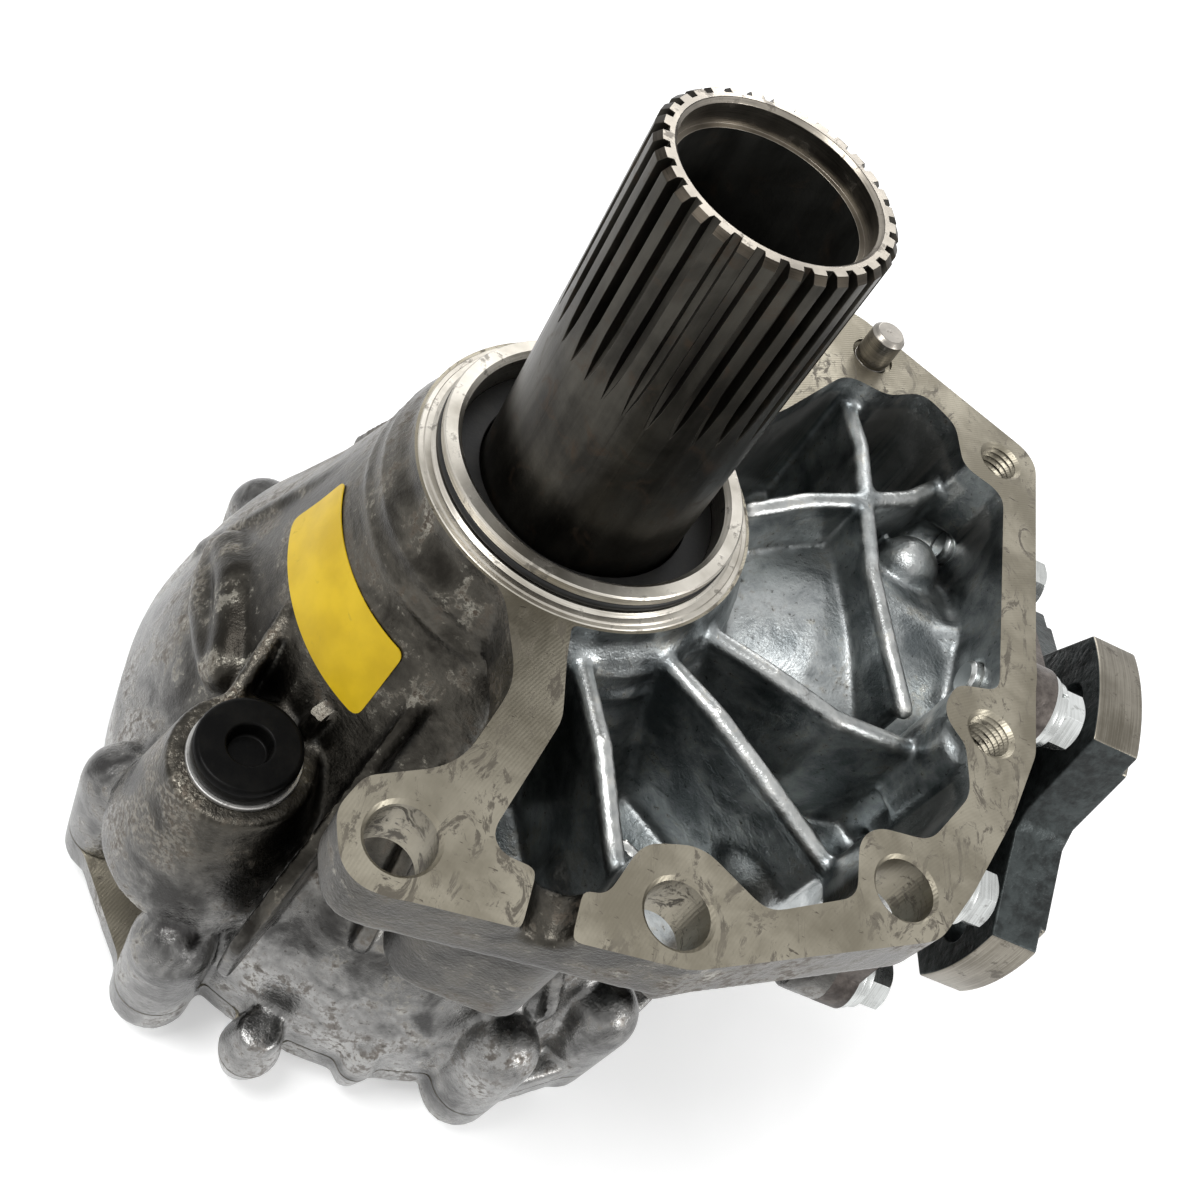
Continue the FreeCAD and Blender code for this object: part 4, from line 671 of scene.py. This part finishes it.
# Companion flange.
# A four-armed iron forging on the pinion's end: scaly black flanks, with the rim, the front face
# and the hub turned on the lathe; a pressed deflector behind it and a nut in front.
FLANGE_AXIS = Vector((0, OUTPUT_AXIS[0], OUTPUT_AXIS[1]))
forged = rough_iron("forged_scale", rgb(0.012, 0.0145, 0.0145), rgb(0.045, 0.054, 0.054), 0.26, 0.0011)
rim_turned = turned_metal("rim_turned", rgb(0.135, 0.122, 0.098), rgb(0.275, 0.255, 0.215), "X", 0.26)
companion = dressed("companion_flange", "flange_arms", forged, 0.0011)
companion.data.materials.append(rim_turned)
front = max(v.co.x for v in companion.data.vertices)
for polygon in companion.data.polygons:
    away = polygon.center - FLANGE_AXIS
    reach = math.hypot(away.y, away.z)
    outward = (away.y * polygon.normal.y + away.z * polygon.normal.z) / max(reach, 1e-6)
    on_rim = reach > 0.0525 and outward > 0.9
    on_front = polygon.center.x > front - 0.0042 and polygon.normal.x > 0.5
    if on_rim or on_front or (reach < 0.0205 and polygon.center.x < 0.1425):
        polygon.material_index = 1
settled(companion, "output_rotor", "flange_iron", "companion_flange")
deflector_steel = turned_metal("deflector_steel", rgb(0.05, 0.048, 0.045), rgb(0.13, 0.125, 0.115), "X", 0.30)
nut_steel = turned_metal("nut_steel", rgb(0.22, 0.21, 0.19), rgb(0.42, 0.40, 0.37), "X", 0.26)
hub_parts = (("dust_deflector", "deflector_disc", deflector_steel, 0.0003, "deflector_steel"),
             ("flange_nut", "pinion_nut", nut_steel, 0.0005, "nut_steel"),
             ("flange_washer", "nut_washer", nut_steel, 0.0004, "nut_steel"))
for node, name, finish, edge, slot in hub_parts:
    settled(dressed(node, name, finish, edge), "output_rotor", slot, node)

# End cover.
# A die-cast plate over the bell: ribbed and domed outside, faced where it meets the case, with a
# thin fibre gasket in the joint.
COVER_FACE = -0.1366
cover_skin = cast_aluminium("cover_aluminium", 0.0)
raw_cover = solid_copy("end_cover")
raise_faces(raw_cover, 2, COVER_FACE, 1, MACHINING_STOCK)
cover = piece_from("cover_casting", raw_cover)
cast_skin(cover, voxel=0.0012, passes=6, share=0.22)
cover.data.materials.clear()
cover.data.materials.append(cover_skin)
cover.data.materials.append(milled)
cover_facing = bmesh.new()
add_block(cover_facing, (-BEYOND, -BEYOND, COVER_FACE), (BEYOND, BEYOND, -0.1255))
cover_facing = piece_from("cover_facing", cover_facing)
cover_facing.data.materials.append(milled)
machined(cover, [cover_facing])
settled(crisp(cover), "case", "cover_casting", "end_cover")
gasket_fibre = rubber("gasket_fibre", 0.02, 0.6, 0.3)
nodes["cover_gasket"].data.materials.clear()
nodes["cover_gasket"].data.materials.append(gasket_fibre)

# Sticker.
# A blank yellow film label on the neck, with rounded corners and a slight wave in the film.
LABEL_TOP = -0.0285
LABEL_FOOT = -0.0487
LABEL_START = 186.0
LABEL_SWEEP = 57.0
LABEL_CORNER = 0.0022


def label_film(name):
    """Plain film: even yellow with a soft sheen, fine creases and a little handling dirt."""
    finish = Finish(name)
    wave = finish.noise(70.0, 4.0, 0.5)
    dirt = finish.ramp(finish.noise(160.0, 6.0, 0.7, distortion=0.8), 0.60, 0.74)
    grain = finish.noise(900.0, 2.0, 0.5)
    colour = finish.mix(finish.ramp(wave, 0.3, 0.7), rgb(0.58, 0.385, 0.008), rgb(0.74, 0.51, 0.014))
    colour = finish.mix(dirt * 0.35, colour, rgb(0.25, 0.17, 0.05))
    return finish.surface(Base_Color=colour, Roughness=0.38 + dirt * 0.2, Specular_IOR_Level=0.22,
                          Normal=finish.bump(wave * 0.8 + grain * 0.15, 0.22, 0.0006))


film = bmesh.new()
bmesh.ops.create_grid(film, x_segments=48, y_segments=18, size=0.5)
width = math.radians(LABEL_SWEEP) * 0.052
height = LABEL_TOP - LABEL_FOOT
for vert in film.verts:
    u = vert.co.x * width
    v = vert.co.y * height
    over_u = abs(u) - (width / 2 - LABEL_CORNER)
    over_v = abs(v) - (height / 2 - LABEL_CORNER)
    if over_u > 0 and over_v > 0:
        spread = max(math.hypot(over_u, over_v), LABEL_CORNER)
        u -= math.copysign(over_u * (1 - LABEL_CORNER / spread), u)
        v -= math.copysign(over_v * (1 - LABEL_CORNER / spread), v)
    angle = math.radians(LABEL_START + LABEL_SWEEP * (u / width + 0.5))
    z = LABEL_FOOT + v + height / 2
    lift = 0.00035 + 0.00012 * math.sin(7 * angle + 300 * z)
    radius = neck_radius(z) + lift
    vert.co = Vector((radius * math.cos(angle), radius * math.sin(angle), z))
bmesh.ops.recalc_face_normals(film, faces=film.faces)
bmesh.ops.solidify(film, geom=film.faces, thickness=0.00025)
label = piece_from("blank_sticker", film)
label.data.materials.append(label_film("label_film"))
settled(crisp(label, 50.0), "case", "sticker_yellow", "blank_label")

# Gears, shaft parts and bearings inside.
# Case-hardened gears, ground bearing rings and rollers, and pressed steel cages, all filmed with oil.
gear_steel = oiled_steel("gear_steel", rgb(0.10, 0.095, 0.088), rgb(0.26, 0.25, 0.235), 0.24)
race_steel = turned_metal("race_steel", rgb(0.34, 0.34, 0.33), rgb(0.62, 0.62, 0.60), "Z", 0.14)
cage_steel = oiled_steel("cage_steel", rgb(0.16, 0.145, 0.12), rgb(0.34, 0.31, 0.26), 0.30)
inside_parts = {"ring_gear": gear_steel, "pinion_shaft": gear_steel, "ring_gear_bolts": gear_steel,
                "collapsible_spacer": gear_steel, "upper_shim": soft_metal}
for end in ("upper", "lower", "head", "tail"):
    inside_parts[end + "_bearing_cage"] = cage_steel
    for part in ("cone", "cup", "rollers"):
        inside_parts[end + "_bearing_" + part] = race_steel
for node, finish in inside_parts.items():
    nodes[node].data.materials.clear()
    nodes[node].data.materials.append(finish)

# Stage.
# A pale floor under the standing case and soft lamps round it.
floor_z = cad_box[0][2]
floor_form = bmesh.new()
bmesh.ops.create_grid(floor_form, x_segments=1, y_segments=1, size=6.0)
bmesh.ops.translate(floor_form, vec=(0, 0, floor_z - 0.0002), verts=floor_form.verts)
floor = piece_from("floor", floor_form)
paper = Finish("paper")
rays = paper.node("ShaderNodeLightPath", out="Is Camera Ray")
glossy = paper.node("ShaderNodeLightPath", out="Is Glossy Ray")
clear = paper.node("ShaderNodeLightPath", out="Is Transmission Ray")
matt = paper.node("ShaderNodeBsdfDiffuse", {}, {"Color": rgb(0.9, 0.9, 0.9)})
glow = paper.node("ShaderNodeEmission", {}, {"Color": rgb(1, 1, 1), "Strength": 0.35})
both = paper.node("ShaderNodeAddShader", {}, {0: matt, 1: glow})
shown = paper.node("ShaderNodeMixShader", {}, {0: (rays + glossy + clear), 1: matt, 2: both})
sink = paper.tree.nodes.new("ShaderNodeOutputMaterial")
paper.tree.links.new(shown.socket, sink.inputs["Surface"])
floor.data.materials.append(paper.material)

world = bpy.data.worlds.new("studio")
world.use_nodes = True
sky = world.node_tree
sky.nodes.clear()
path = sky.nodes.new("ShaderNodeLightPath")
either = sky.nodes.new("ShaderNodeMath")
either.operation = "MAXIMUM"
sky.links.new(path.outputs["Is Camera Ray"], either.inputs[0])
sky.links.new(path.outputs["Is Glossy Ray"], either.inputs[1])
any_of = sky.nodes.new("ShaderNodeMath")
any_of.operation = "MAXIMUM"
sky.links.new(either.outputs[0], any_of.inputs[0])
sky.links.new(path.outputs["Is Transmission Ray"], any_of.inputs[1])
dim = sky.nodes.new("ShaderNodeBackground")
dim.inputs["Color"].default_value = rgb(1, 1, 1)
dim.inputs["Strength"].default_value = 0.5
bright = sky.nodes.new("ShaderNodeBackground")
bright.inputs["Color"].default_value = rgb(1, 1, 1)
bright.inputs["Strength"].default_value = 1.0
blend = sky.nodes.new("ShaderNodeMixShader")
sky.links.new(any_of.outputs[0], blend.inputs[0])
sky.links.new(dim.outputs[0], blend.inputs[1])
sky.links.new(bright.outputs[0], blend.inputs[2])
out = sky.nodes.new("ShaderNodeOutputWorld")
sky.links.new(blend.outputs[0], out.inputs["Surface"])
bpy.context.scene.world = world

aim = Vector((0.03, 0.0, -0.03))
for name, place, size, power in (("key", (-0.5, -0.2, 1.1), 0.5, 9.0), ("side", (1.1, -0.5, 0.5), 0.5, 6.0),
                                 ("back", (0.1, 1.2, 0.5), 0.7, 6.0)):
    lamp = bpy.data.lights.new(name, "AREA")
    lamp.shape = "DISK"
    lamp.size = size
    lamp.energy = power
    stand = bpy.data.objects.new(name, lamp)
    stand.location = place
    stand.rotation_euler = (aim - Vector(place)).to_track_quat("-Z", "Y").to_euler()
    bpy.context.scene.collection.objects.link(stand)

lens = bpy.data.cameras.new("camera")
lens.sensor_width = 36.0
lens.lens = 42.2976
lens.shift_x = -0.00136
lens.shift_y = 0.0017
lens.clip_start = 0.01
camera = bpy.data.objects.new("camera", lens)
camera.location = (-0.04673, -0.22364, 0.22594)
camera.rotation_euler = (0.61975, -0.40349, 0.21454)
bpy.context.scene.collection.objects.link(camera)
bpy.context.scene.camera = camera
bpy.context.scene.view_settings.view_transform = "Standard"
